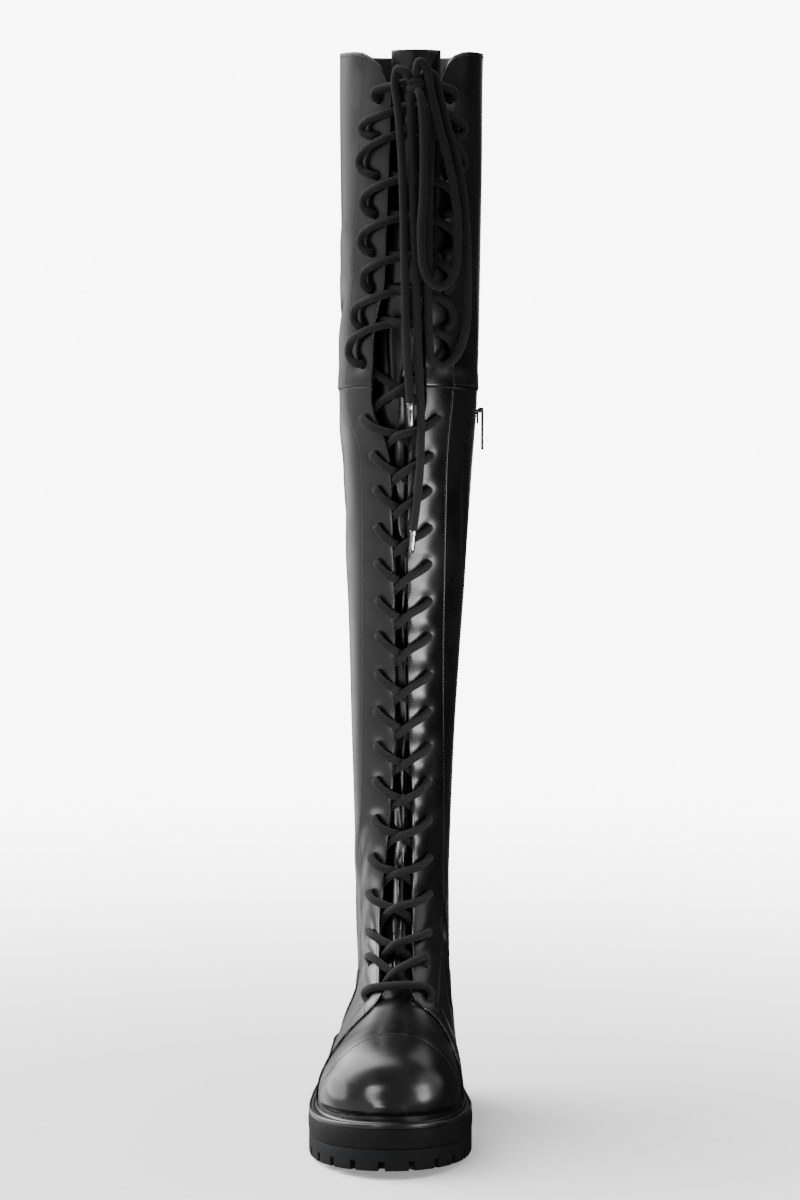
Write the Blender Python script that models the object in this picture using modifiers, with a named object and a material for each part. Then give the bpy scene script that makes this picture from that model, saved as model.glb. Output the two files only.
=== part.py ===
"""Over-the-knee lace-up boot for the right foot: lugged sole unit, welted hollow upper,
thigh shaft, tongue, inner-side zip with a swinging pull tab, rope lacing and its bow.

Frame: metres, +Z up, toe towards -Y, inner side of the leg towards +X, and the origin under
the middle of the sole's length, on the floor that the tread stands on.
Tables are in millimetres, one row for each section."""
import math

import bmesh
import bpy
import numpy as np
from mathutils import Matrix, Vector

MM = 0.001
GAP = 0.3 * MM                    # clearance between pieces that touch

# ---- sole unit ---------------------------------------------------------------------------
SOLE_LENGTH = 283 * MM
BALL_Y = -46.5 * MM               # widest place of the sole
TOE_ROUND = 95 * MM               # length of the rounded toe, from the ball to the tip
HEEL_ROUND = 48 * MM              # length of the rounded heel
TOE_POWER, HEEL_POWER = 2.05, 2.2
SOLE_STATIONS = 32                # cross sections of every sole layer
WELT_THICK = 3.3 * MM
MIDSOLE_THICK = 13.5 * MM
OUTSOLE_BASE = 8.2 * MM           # outsole without its lugs
TREAD_DEPTH = 6.4 * MM
TOE_SPRING = 6.0 * MM
WAIST_START, WAIST_END = 8 * MM, 24 * MM
HEEL_BREAST = 56 * MM
NOTCH_WIDTH, NOTCH_REACH = 4.6 * MM, 13 * MM
NOTCH_PITCH = 21 * MM
CUT_HALF = 10 * MM                # half height of the cutters
CUT_BEYOND = 4 * MM               # how far a cutter starts outside the sole's edge
CENTRE_LUG_HALF = 22 * MM         # block of cross lugs under the forepart
CENTRE_FRONT, CENTRE_REAR = -98 * MM, 2 * MM
CENTRE_LUGS = 5
CENTRE_GROOVE_DEPTH = 6.2 * MM
INSOLE_RISE = 3.0 * MM            # insole above the welt
INSOLE_INSET = 3.6 * MM           # insole edge inside the foot of the upper
WELT_INNER = 3.1 * MM             # inner edge of the welt strip inside the foot of the upper

# half widths of the sole, to the outer and to the inner side of the foot
SOLE_WIDTH = dict(
    y=(-141.5, -46.5, -20, 10, 40, 70, 95, 141.5),
    outer=(55.5, 55.5, 54.5, 51, 47.5, 45.5, 44.5, 44.5),
    inner=(55.5, 55.5, 52.5, 47.5, 43.2, 42.8, 43.5, 43.5))
# height of the welt's top, and how far the foot of the upper stands inside the sole's edge
SOLE_TOP = dict(
    y=(-141.5, -110, -80, -50, -20, 10, 40, 70, 100, 141.5),
    height=(37.5, 34.2, 32.2, 31.3, 32.2, 35.5, 40.5, 44.5, 46.6, 47.2),
    ledge=(9.0, 8.2, 7.0, 6.0, 5.4, 5.0, 5.0, 5.2, 5.8, 7.0))

# ---- upper -------------------------------------------------------------------------------
WALL = 2.2 * MM
LASTING_MARGIN = 4 * MM           # upright strip of the upper along the welt
# Fan of sections. Each lies in a plane parallel to X, from its back (or bottom) point to its front
# (or top) point. lift is the back point's height above the upper's foot: it is zero while the
# sections start on the sole. low and high are the half widths near the back and the front end,
# back_round and front_round the shares of the section that round it off, power their fullness.
SECTIONS = dict(
    back_y=(-132.5, -129.6, -123, -113, -99, -81, -60, -38, -12, 17, 47, 76, 102, 121, 131, 134.5,
            136.2, 136.2, 132, 125, 119.5, 118.5, 121.5, 128, 134, 138, 138.5, 136, 138, 143, 147, 150),
    lift=(0, 0, 0, 0, 0, 0, 0, 0, 0, 0, 0, 0, 0, 0, 0, 0,
          12, 28, 48, 74, 106, 146, 192, 242, 290, 335, 385, 459, 500, 560, 628, 696),
    front_y=(-132.5, -134.2, -133, -127.5, -117, -100, -80, -60, -41, -22, -5, 9, 18, 22, 24, 24.5,
             24.5, 24.5, 24, 23, 21, 17.5, 12, 5.5, 0, -4, -6.5, -6.5, -9, -14, -18, -21),
    front_z=(40.5, 50, 60.5, 71.5, 79.5, 85.0, 88.8, 93.2, 99.5, 112, 126.5, 141.5, 156, 168, 179, 190,
             202, 216, 232, 252, 275, 304, 337, 373, 408, 440, 474, 521, 555, 612, 678, 744),
    low=(10, 12.5, 24.5, 34, 41.0, 46, 48.8, 47.5, 46, 43.5, 41.5, 40, 39.5, 39, 38.5, 38.2,
         38, 37.5, 36.5, 35, 34.5, 35.5, 37, 39, 41, 43, 45, 48.4, 48.8, 48.8, 49.2, 49.8),
    high=(8, 11, 22, 31, 37, 40.5, 42.5, 42, 40, 38, 36, 33.5, 31.5, 30.6, 30.5, 30.5,
          30.6, 31, 31.5, 32.2, 33.5, 35, 36.6, 38.6, 41, 43, 45, 48.6, 48.8, 48.8, 49.2, 49.8),
    centre=(0, 0, 0, 0, 0, 0.3, 1, 2.6, 4.4, 4.4, 4.4, 4.4, 4.4, 4.4, 4.4, 4.6,
            4.6, 4.8, 4.8, 4.8, 5.2, 5.8, 6.6, 7.4, 8.2, 8.6, 9.2, 10.2, 10.8, 11.4, 12, 12.6),
    back_centre=(0, 0, 0, 0, 0, 0, 0, 0, 0, 0, 0, 0, 0, 0, 0, 0,
                 0.3, 1, 2, 3.2, 4.4, 5.4, 6.4, 7.4, 8.2, 8.6, 9.2, 10.2, 10.8, 11.4, 12, 12.6),
    back_round=(.30, .30, .25, .20, .18, .18, .18, .20, .22, .22, .20, .18, .18, .20, .23, .25,
                .27, .29, .32, .36, .41, .45, .47, .48, .48, .47, .46, .45, .44, .44, .43, .43),
    front_round=(.70, .70, .72, .76, .80, .82, .82, .80, .76, .70, .62, .55, .50, .47, .45, .44,
                 .43, .43, .43, .43, .44, .45, .46, .46, .45, .46, .47, .48, .48, .48, .48, .48),
    power=(2.0, 2.0, 2.1, 2.2, 2.25, 2.3, 2.25, 2.1, 2.0, 1.95, 1.9, 1.9, 1.9, 1.9, 1.95, 2.0,
           2.0, 2.0, 2.0, 2.0, 2.0, 2.0, 2.0, 2.0, 2.0, 2.0, 2.0, 2.05, 2.1, 2.1, 2.1, 2.1))
HEEL_TIP_ROW = 15                 # first section that closes round the back of the heel
THROAT_ROW = 8.0                  # bottom of the throat
KNEE_ROW = 27                     # knee seam
TOP_ROW = 31                      # level of the collar
# edges of the throat, by height
THROAT = dict(
    z=(99, 101, 106, 118, 147, 195, 234, 276, 344, 431, 462, 480, 490, 500, 510, 521,
       549, 570, 588, 619, 657, 711, 745),
    outer=(3.5, -2.5, -6.5, -8.5, -9.0, -4.4, -0.5, 1.6, 2.0, 0.0, -0.8, -4.0, -7.5, -12.5, -14.0, -13.4,
           -12.5, -9.0, -4.5, -3.3, -1.6, 0.2, 0.2),
    inner=(5.5, 11.5, 14.5, 14.8, 14.0, 13.6, 13.6, 11.2, 10.6, 10.8, 11.0, 12.5, 17.5, 22.5, 23.5, 23.0,
           23.5, 25.5, 27.5, 29.0, 30.5, 32.5, 32.5))
COLLAR_CUT_RUN = 27 * MM          # length of the rounded cut beside the throat
COLLAR_CUT_DROP = dict(outer=28 * MM, inner=23 * MM)
SECTION_POINTS = 180              # fineness at which a section is first worked out
CENTRE_SHIFT = 0.6                # share of a section over which its middle moves to the front's
OUTER_COLUMNS = 12                # grid columns of the outer half above the lasting margin
BACK_COLUMNS, FRONT_COLUMNS = 5, 7    # the same of the inner half, behind and before the zip
UPPER_ROWS = [0.5 * k for k in range(30)] + [float(k) for k in range(15, 27)] + [26.8, 27.0]
THIGH_ROWS = [27.014, 27.7, 28.4, 29.1, 29.8, 30.3, 30.7, 31.0]

# ---- zip on the inner side ---------------------------------------------------------------
# the zip's line, seen from the side
ZIP_LINE = dict(
    z=(40, 70, 110, 160, 220, 300, 400, 530),
    y=(70, 73, 76, 77, 75, 69, 62, 58))
ZIP_ROWS = (11.5, 26.8)           # lowest and highest place of the slot
ZIP_SLOT = 9.0 * MM
SPREAD_ROW, SPREAD_SHARE = 7, 0.4     # below the slot its grid columns spread out from this row
TAPE_THICK, TAPE_DEPTH, TAPE_CLEAR = 1.0 * MM, 0.6 * MM, 1.0 * MM
CHAIN_TOP_ROW, SLIDER_ROW = 26.45, 26.62
CHAIN_WIDTH, CHAIN_THICK = 4.6 * MM, 1.5 * MM
SLIDER_SIZE = (2.6 * MM, 8.4 * MM, 10 * MM)
TAB_SIZE = (1.2 * MM, 6.2 * MM, 29 * MM)
TAB_ABOVE = 0.6 * MM              # tab's end above its axis
HARDWARE_BEVEL = 0.4 * MM

# ---- tongue and lacing -------------------------------------------------------------------
TONGUE_THICK = 1.6 * MM
TONGUE_DEPTH = 8.4 * MM           # tongue's face behind the outer face of the upper
TONGUE_HALF = 25 * MM
TONGUE_BOTTOM, TONGUE_TOP = 106 * MM, 745 * MM
TONGUE_FREE = 600 * MM            # height above which it curls
TONGUE_LEVELS, TONGUE_COLUMNS = 28, 7
TONGUE_CURL = 17 * MM             # radius of its curled top
LACE = 5.6 * MM
# eyelet rows from the top: height, outer and inner eyelet, and how far the crossing lies above it
EYELETS = dict(
    z=(711, 686, 660, 634, 608, 583, 557, 532, 495, 470, 446, 420, 395, 369, 344, 317, 291, 266, 241,
       214, 187, 161, 135, 118, 98),
    outer=(-8.5, -8.8, -9.5, -11.4, -13.0, -14.0, -19.0, -21.2, -19.5, -12.8, -10.5, -9.9, -9.8, -9.6, -9.6,
           -10.2, -10.8, -11.0, -11.7, -12.8, -14.6, -16.0, -15.4, -15.4, -16.0),
    inner=(39.5, 37.5, 36.5, 36, 36, 35.5, 35, 34.5, 31.0, 26.2, 25.0, 25.2, 24.8, 25.0, 24.8,
           24.7, 24.2, 24.4, 23.4, 24.5, 24.5, 24.5, 24.4, 23.0, 25.5),
    rise=(6, 14, 17, 19, 18, 15, 17, 20, -11, -13, -13, -13, -13, -13, -13, -13, -13, -12, -12,
          -10, -9, -7, -5, -4, 7))
LACE_CLEAR = 0.6 * MM
ROWS_ABOVE_KNEE = 8
# half a crossing: share of the way to the middle, mm outward, share of the rise
LOOPED = ((0, 0, 0), (0, 5, .28), (.08, 2.5, .72), (.5, 0, .96))
STRAIGHT = ((0, 0, 0), (.33, 0, .36), (.66, 0, .74))
CORD_SIDES = 2                    # bevel resolution of the cords: eight sides
KNOT_CENTRE = (16.5, 721.5, 13.5)
KNOT_SIZE = (5.4 * MM, 5.6 * MM, 5.2 * MM)
KNOT_CLEAR = 0.7 * MM
AGLET_RADIUS, AGLET_LENGTH = 2.2 * MM, 16 * MM
BOW_TURN_X, BOW_WRAP = 30 * MM, 0.4
# routes of the bow: x, z and distance in front of the leather
ROUTES = dict(
    lace_end_left=((10.0, 729, 14), (4.6, 731, 13), (2.6, 722, 11), (4.6, 706, 10), (6.8, 680, 10),
                   (8.2, 645, 10), (9.0, 603, 10), (9.8, 563, 10.5), (11.2, 530, 11), (12.8, 507, 11)),
    lace_end_right=((14.0, 713.5, 12), (13.6, 703, 10.5), (14.2, 677, 10), (15.0, 643, 10), (16.3, 603, 10),
                    (17.6, 563, 10.5), (19.2, 523, 11), (20.2, 489, 10.5), (19.4, 461, 10), (17.2, 438, 10),
                    (14.8, 420, 10)),
    lace_loop_small=((17.2, 730.5, 17.5), (19.6, 736, 19), (23.6, 731.5, 19), (27.6, 713, 18), (32.4, 693, 17.5),
                     (37.8, 673, 17), (42.3, 650, 17), (45.0, 627, 17), (45.0, 606, 17), (41.0, 591, 17.5),
                     (33.3, 585, 18), (25.5, 590, 18), (20.9, 603, 17.5), (20.2, 622, 17),
                     (21.6, 645, 17), (22.2, 676, 17), (21.6, 698, 18), (20.0, 712.5, 20.5)),
    lace_loop_large=((24.0, 729, 12), (29.0, 727, 11), (33.0, 712, 10), (38.0, 693, 10), (44.5, 670, 10),
                     (49.2, 643, 10), (51.2, 616, 10), (51.8, 590, 10), (51.6, 568, 10.5), (49.2, 551, 11),
                     (43.2, 537, 11), (34.3, 532, 11), (27.0, 538, 10.5), (25.4, 556, 10), (25.0, 583, 10),
                     (25.4, 610, 10), (25.8, 637, 10), (26.4, 664, 10), (27.2, 692, 10), (27.4, 705, 10.3), (24.2, 714.5, 11.5)))
CORD_STEP = 2.8                   # spacing of a cord's points, in diameters
CORD_CROWDING = 0.4               # how much closer they are beside the knot
AGLETS = dict(lace_end_left=("aglet_left", (13.4, 489, 11)),
              lace_end_right=("aglet_right", (13.6, 404, 10)))

COLOURS = dict(
    leather=((0.012, 0.012, 0.013), 0.32, 0.0),
    lining=((0.03, 0.03, 0.03), 0.8, 0.0),
    rubber=((0.03, 0.03, 0.03), 0.6, 0.0),
    cord=((0.02, 0.02, 0.02), 0.9, 0.0),
    zipper=((0.015, 0.015, 0.015), 0.35, 0.6),
    steel=((0.6, 0.6, 0.6), 0.25, 1.0))


# ---- tables and curves -------------------------------------------------------------------
def through(stations, values):
    """Monotone cubic curve through a table's rows, as a function of the station."""
    x, v = np.asarray(stations, float), np.asarray(values, float)
    step = np.diff(x)
    slope = np.diff(v) / step
    tangent = np.zeros(len(x))
    for i in range(1, len(x) - 1):
        if slope[i - 1] * slope[i] > 0:
            first, second = 2 * step[i] + step[i - 1], step[i] + 2 * step[i - 1]
            tangent[i] = (first + second) / (first / slope[i - 1] + second / slope[i])
    tangent[0], tangent[-1] = slope[0], slope[-1]

    def value(at):
        at = np.clip(at, x[0], x[-1])
        i = np.clip(np.searchsorted(x, at, side="right") - 1, 0, len(x) - 2)
        t = (at - x[i]) / step[i]
        return ((1 + 2 * t) * (1 - t) ** 2 * v[i] + t * (1 - t) ** 2 * step[i] * tangent[i]
                + t * t * (3 - 2 * t) * v[i + 1] + t * t * (t - 1) * step[i] * tangent[i + 1])
    return value


def curves(table, key):
    """Every column of a table in millimetres as a curve in metres over its key column."""
    return {name: through(np.array(table[key]) * MM, np.array(column) * MM)
            for name, column in table.items() if name != key}


def eased(t):
    """Smooth step from 0 to 1."""
    t = np.clip(t, 0.0, 1.0)
    return t * t * (3 - 2 * t)


def along(points, distances):
    """Points at the given distances along a polyline."""
    steps = np.linalg.norm(np.diff(points, axis=0), axis=1)
    walked = np.concatenate([[0.0], np.cumsum(steps)])
    return np.stack([np.interp(distances, walked, points[:, k]) for k in range(3)], axis=1)


def length_of(points):
    return float(np.linalg.norm(np.diff(points, axis=0), axis=1).sum())


# ---- outline and levels of the sole ------------------------------------------------------
width_at = curves(SOLE_WIDTH, "y")
level_at = curves(SOLE_TOP, "y")
TOE_TIP, HEEL_TIP = -SOLE_LENGTH / 2, SOLE_LENGTH / 2


def sole_half(side, y):
    """Half width of the sole at y, to its inner (+1) or outer (-1) side."""
    half = width_at["inner" if side > 0 else "outer"](y)
    toe = np.clip((BALL_Y - y) / TOE_ROUND, 0, 1)
    heel = np.clip((y - (HEEL_TIP - HEEL_ROUND)) / HEEL_ROUND, 0, 1)
    return half * (1 - toe ** TOE_POWER) ** (1 / TOE_POWER) * (1 - heel ** HEEL_POWER) ** (1 / HEEL_POWER)


def sole_stations(first=TOE_TIP, last=HEEL_TIP, round_first=True):
    """Stations from toe to heel, crowded where the outline turns round an end."""
    t = np.linspace(0, 1, SOLE_STATIONS + 1)
    if round_first:
        return first + (last - first) * (1 - np.cos(math.pi * t)) / 2
    return first + (last - first) * np.sin(t * math.pi / 2)


def outline(side, inset, stations):
    """One side of the sole's outline, moved inward by inset(y), as x, y points."""
    fine = sole_stations()
    x = sole_half(side, fine) * side
    points = np.stack([x, fine], axis=1)
    run = np.gradient(points, axis=0)
    run[0], run[-1] = (side, 0), (-side, 0)
    run /= np.linalg.norm(run, axis=1)[:, None]
    inward = np.stack([-run[:, 1] * side, run[:, 0] * side], axis=1)
    moved = points + inward * inset(fine)[:, None]
    moved[0, 0] = moved[-1, 0] = 0.0
    share = (stations - TOE_TIP) / (HEEL_TIP - TOE_TIP)
    y = moved[0, 1] + (moved[-1, 1] - moved[0, 1]) * share
    return np.interp(y, moved[:, 1], moved[:, 0]), y


def foot_line(side, y):
    """x of the upper's foot on the welt at y."""
    x, at = outline(side, level_at["ledge"], sole_stations())
    return np.interp(y, at, x, left=0.0, right=0.0)


def welt_top(y):
    return level_at["height"](y)


def base_bottom(y):
    """Underside of the outsole between and behind its lugs."""
    return welt_top(y) - WELT_THICK - MIDSOLE_THICK - OUTSOLE_BASE


def tread_bottom(y):
    """Underside of the forepart's lugs: flat at the ball, sprung at the toe, gone at the waist."""
    spring = TOE_SPRING * np.clip((BALL_Y - y) / TOE_ROUND, 0, 1) ** 1.6
    return spring + (base_bottom(y) - spring) * eased((y - WAIST_START) / (WAIST_END - WAIST_START))


# ---- scene helpers -----------------------------------------------------------------------
def clear_scene():
    for item in list(bpy.data.objects):
        bpy.data.objects.remove(item, do_unlink=True)


def collection(name):
    made = bpy.data.collections.new(name)
    bpy.context.scene.collection.children.link(made)
    return made


def material(name, finish):
    colour, roughness, metallic = COLOURS[finish]
    made = bpy.data.materials.new(name)
    made.use_nodes = True
    shader = made.node_tree.nodes["Principled BSDF"]
    shader.inputs["Base Color"].default_value = (*colour, 1.0)
    shader.inputs["Roughness"].default_value = roughness
    shader.inputs["Metallic"].default_value = metallic
    return made


def place(name, data, finish, holder, smooth=None):
    """Object with its own material; smooth is the sharp angle in degrees of a rounded piece."""
    made = bpy.data.objects.new(name, data)
    data.materials.append(material(name + "_finish", finish))
    holder.objects.link(made)
    if smooth is not None and made.type == "MESH":
        data.shade_smooth()
        data.set_sharp_from_angle(angle=math.radians(smooth))
    return made


def mesh_of(name, points, faces, merge=0.02 * MM):
    """Mesh from points and faces, with coincident points joined."""
    data = bpy.data.meshes.new(name)
    data.from_pydata([tuple(map(float, p)) for p in points], [], faces)
    work = bmesh.new()
    work.from_mesh(data)
    bmesh.ops.remove_doubles(work, verts=work.verts, dist=merge)
    bmesh.ops.dissolve_degenerate(work, edges=work.edges, dist=merge / 2)
    work.to_mesh(data)
    work.free()
    return data


def grid_faces(rows, columns, skip=()):
    """Quads of a grid of points, without the (row, column) cells in skip."""
    return [(r * columns + c, r * columns + c + 1, (r + 1) * columns + c + 1, (r + 1) * columns + c)
            for r in range(rows - 1) for c in range(columns - 1) if (r, c) not in skip]


def solidify(item, thickness, offset=-1.0):
    shell = item.modifiers.new("wall", "SOLIDIFY")
    shell.thickness = thickness
    shell.offset = offset
    shell.use_even_offset = True
    shell.thickness_clamp = 0.0
    return shell


def cut(item, cutter, title):
    cutter.hide_render = True
    cutter.display_type = "WIRE"
    boolean = item.modifiers.new(title, "BOOLEAN")
    boolean.operation = "DIFFERENCE"
    boolean.solver = "EXACT"
    boolean.object = cutter


# ---- sole unit ---------------------------------------------------------------------------
def no_inset(y):
    return np.zeros_like(y)


def plate(name, finish, holder, inset, bottom, top, stations=None):
    """Closed layer of the sole between two level functions, inside the outline by inset(y)."""
    at = sole_stations() if stations is None else stations
    inner_x, y = outline(1, inset, at)
    outer_x = outline(-1, inset, at)[0]
    loops = [(inner_x, bottom(y)), (outer_x, bottom(y)), (outer_x, top(y)), (inner_x, top(y)),
             (inner_x, bottom(y))]
    points = [(x[i], y[i], z[i]) for i in range(len(y)) for x, z in loops]
    faces = grid_faces(len(y), len(loops))
    for first, turn in ((0, 1), (len(y) - 1, -1)):
        if inner_x[first] - outer_x[first] > MM:
            corner = [first * len(loops) + k for k in range(4)]
            faces.append(tuple(corner[::-turn]))
    data = mesh_of(name, points, faces)
    work = bmesh.new()
    work.from_mesh(data)
    bmesh.ops.recalc_face_normals(work, faces=work.faces)
    work.to_mesh(data)
    work.free()
    return place(name, data, finish, holder)


def ring(name, finish, holder, outer_inset, inner_inset, bottom, top):
    """Closed strip of the sole between two outlines."""
    at = sole_stations()
    loops = []
    for inset in (outer_inset, inner_inset):
        inner_x, y = outline(1, inset, at)
        outer_x = outline(-1, inset, at)[0]
        loops.append([(x, v) for x, v in zip(inner_x, y)] + [(x, v) for x, v in zip(outer_x, y)][-2:0:-1])
    corners = [(loops[0], bottom), (loops[0], top), (loops[1], top), (loops[1], bottom), (loops[0], bottom)]
    count = len(loops[0])
    points = [(loop[i % count][0], loop[i % count][1], float(level(np.array(loop[i % count][1]))))
              for i in range(count + 1) for loop, level in corners]
    data = mesh_of(name, points, grid_faces(count + 1, len(corners)))
    work = bmesh.new()
    work.from_mesh(data)
    bmesh.ops.recalc_face_normals(work, faces=work.faces)
    work.to_mesh(data)
    work.free()
    return place(name, data, finish, holder)


def turned_box(work, centre, half, direction):
    """Box whose local X lies along a direction in the floor plane."""
    made = bmesh.ops.create_cube(work, size=2.0)["verts"]
    bmesh.ops.scale(work, vec=half, verts=made)
    turn = Matrix.Rotation(math.atan2(direction[1], direction[0]), 3, "Z")
    bmesh.ops.rotate(work, cent=(0, 0, 0), matrix=turn, verts=made)
    bmesh.ops.translate(work, vec=centre, verts=made)


def cutter(name, holder, frames):
    """One cutter from separate boxes, each given as centre, half size and direction."""
    work = bmesh.new()
    for frame in frames:
        turned_box(work, *frame)
    data = bpy.data.meshes.new(name)
    work.to_mesh(data)
    work.free()
    made = bpy.data.objects.new(name, data)
    holder.objects.link(made)
    return made


def edge_notches(first_y, last_y, under, from_heel):
    """Boxes for the notches between the edge lugs, square to the sole's edge."""
    frames = []
    fine = np.linspace(first_y, last_y, 400)
    for side in (1, -1):
        edge = np.stack([sole_half(side, fine) * side, fine, 0 * fine], axis=1)
        if from_heel:
            edge = edge[::-1]
        total = length_of(edge)
        places = NOTCH_PITCH * (np.arange(int(total / NOTCH_PITCH - 0.3)) + 0.5)
        at = along(edge, places)
        ahead = along(edge, places + MM)
        for here, near in zip(at, ahead):
            run = (near - here) / np.linalg.norm(near - here)
            inward = np.array([-side * abs(run[1]), run[0] * side * np.sign(run[1]), 0])
            centre = here + inward * (NOTCH_REACH / 2 - CUT_BEYOND / 2)
            centre[2] = float(under(here[1])) + TREAD_DEPTH - CUT_HALF
            half = (NOTCH_REACH / 2 + CUT_BEYOND / 2, NOTCH_WIDTH / 2, CUT_HALF)
            frames.append((Vector(centre), half, inward))
    return frames


def build_sole(holder, cutters):
    outsole_top = lambda y: welt_top(y) - WELT_THICK - MIDSOLE_THICK
    outsole = plate("outsole", "rubber", holder, no_inset, tread_bottom, lambda y: outsole_top(y) - GAP)
    notches = edge_notches(TOE_TIP, CENTRE_REAR, tread_bottom, False)
    cut(outsole, cutter("cut_edge_lugs", cutters, notches), "edge lugs")
    deep = CENTRE_GROOVE_DEPTH - CUT_HALF
    lengthwise = [(Vector((side * CENTRE_LUG_HALF, (CENTRE_FRONT + CENTRE_REAR) / 2, deep)),
                   ((CENTRE_REAR - CENTRE_FRONT) / 2, NOTCH_WIDTH / 2, CUT_HALF), (0, 1)) for side in (1, -1)]
    cut(outsole, cutter("cut_long_grooves", cutters, lengthwise), "long grooves")
    step = (CENTRE_REAR - CENTRE_FRONT) / CENTRE_LUGS
    crosswise = [(Vector((0, CENTRE_FRONT + step * k, deep)),
                  (CENTRE_LUG_HALF + MM, NOTCH_WIDTH / 2, CUT_HALF), (1, 0)) for k in range(CENTRE_LUGS)]
    cut(outsole, cutter("cut_cross_grooves", cutters, crosswise), "cross grooves")

    flat = lambda y: 0.0 * y
    heel = plate("heel_block", "rubber", holder, no_inset, flat, lambda y: base_bottom(y) - GAP,
                 sole_stations(HEEL_BREAST, HEEL_TIP, round_first=False))
    heel_notches = edge_notches(HEEL_BREAST + NOTCH_PITCH / 2, HEEL_TIP, flat, True)
    cut(heel, cutter("cut_heel_lugs", cutters, heel_notches), "heel lugs")

    plate("midsole", "rubber", holder, no_inset, outsole_top, lambda y: welt_top(y) - WELT_THICK - GAP)
    ring("welt", "rubber", holder, no_inset, lambda y: level_at["ledge"](y) + WELT_INNER,
         lambda y: welt_top(y) - WELT_THICK, welt_top)
    plate("insole", "lining", holder, lambda y: level_at["ledge"](y) + INSOLE_INSET,
          lambda y: welt_top(y) - WELT_THICK, lambda y: welt_top(y) + INSOLE_RISE)


# ---- upper -------------------------------------------------------------------------------
SHARES = ("back_round", "front_round", "power")
section_at = {name: through(range(len(column)), np.array(column) * (1 if name in SHARES else MM))
              for name, column in SECTIONS.items()}
throat_at = curves(THROAT, "z")
zip_y = curves(ZIP_LINE, "z")["y"]


def half_section(side, row):
    """Half of a section, from the welt or the back of the leg to the middle of its front."""
    now = {name: float(curve(row)) for name, curve in section_at.items()}
    u = (1 - np.cos(math.pi * np.linspace(0, 1, SECTION_POINTS))) / 2
    foot_z = float(welt_top(now["back_y"])) + GAP
    foot_x = float(foot_line(side, now["back_y"])) if row < HEEL_TIP_ROW else 0.0
    start = side * foot_x / now["low"]
    back = np.clip(u / now["back_round"], 0, 1)
    front = np.clip((u - 1 + now["front_round"]) / now["front_round"], 0, 1)
    lower = np.sqrt(start ** 2 + (1 - start ** 2) * (1 - (1 - back) ** 2))
    upper = (1 - front ** now["power"]) ** (1 / now["power"])
    half = (now["low"] + (now["high"] - now["low"]) * eased(u)) * lower * upper
    middle = now["back_centre"] + (now["centre"] - now["back_centre"]) * eased(u / CENTRE_SHIFT)
    z = foot_z + LASTING_MARGIN + now["lift"]
    points = np.stack([middle + side * half,
                       now["back_y"] + (now["front_y"] - now["back_y"]) * u,
                       z + (now["front_z"] - z) * u], axis=1)
    if row <= HEEL_TIP_ROW:
        points = np.vstack([[foot_x, now["back_y"], foot_z], points])
    return points


def zip_distance(row):
    """Distance of the zip's line from the start of an inner half section, along the leather."""
    points = half_section(1, row)
    before = points[:, 1] - zip_y(points[:, 2])
    first = int(np.argmax(before < 0))
    share = before[first - 1] / (before[first - 1] - before[first])
    return length_of(points[:first]) + share * length_of(points[first - 1:first + 1])


ZIP_GRID = np.arange(ZIP_ROWS[0] - 0.25, TOP_ROW + 0.01, 0.25)
zip_along = through(ZIP_GRID, [zip_distance(row) for row in ZIP_GRID])


def trimmed_section(side, row):
    """Half section up to the edge of the throat, where the throat is open."""
    points = half_section(side, row)
    if row < THROAT_ROW:
        return points
    edge = float(throat_at["inner" if side > 0 else "outer"](float(section_at["front_z"](row))))
    out = points[:, 0] * side - edge * side
    last = int(np.max(np.nonzero(out > 0)))
    if last + 1 >= len(points):
        return points
    share = out[last] / (out[last] - out[last + 1])
    return np.vstack([points[:last + 1], points[last] + share * (points[last + 1] - points[last])])


def column_places(side, row, total):
    """Distances of a half section's grid columns from its start."""
    margin = LASTING_MARGIN if row <= HEEL_TIP_ROW else 0.0
    if side < 0:
        return np.concatenate([[0.0], np.linspace(margin, total, OUTER_COLUMNS)])
    spread = margin + SPREAD_SHARE * (total - margin)
    middle = spread + (zip_along(row) - spread) * eased((row - SPREAD_ROW) / (ZIP_ROWS[0] - SPREAD_ROW))
    half = min(ZIP_SLOT / 2, SPREAD_SHARE / 3 * (total - margin))
    return np.concatenate([[0.0], np.linspace(margin, middle - half, BACK_COLUMNS),
                           np.linspace(middle + half, total, FRONT_COLUMNS)])


def collar_row(side, row, distance):
    """Row of the thigh lowered beside the throat, where the collar is cut away in a round."""
    drop = COLLAR_CUT_DROP["inner" if side > 0 else "outer"]
    cut_down = drop * (1 - np.sin(math.pi / 2 * np.clip(distance / COLLAR_CUT_RUN, 0, 1)))
    span = float(section_at["front_z"](TOP_ROW) - section_at["front_z"](TOP_ROW - 1))
    return KNEE_ROW + (row - KNEE_ROW) * (1 - cut_down / span / (TOP_ROW - KNEE_ROW))


def skin_row(side, row):
    """Grid points of one half of the upper's outer face at a row."""
    points = trimmed_section(side, row)
    total = length_of(points)
    places = column_places(side, row, total)
    if row <= KNEE_ROW:
        return along(points, places)
    found = []
    for k, place_along in enumerate(places):
        lowered = trimmed_section(side, collar_row(side, row, total - place_along))
        share = column_places(side, row, length_of(lowered))[k]
        found.append(along(lowered, [share])[0])
    return np.array(found)


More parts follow.
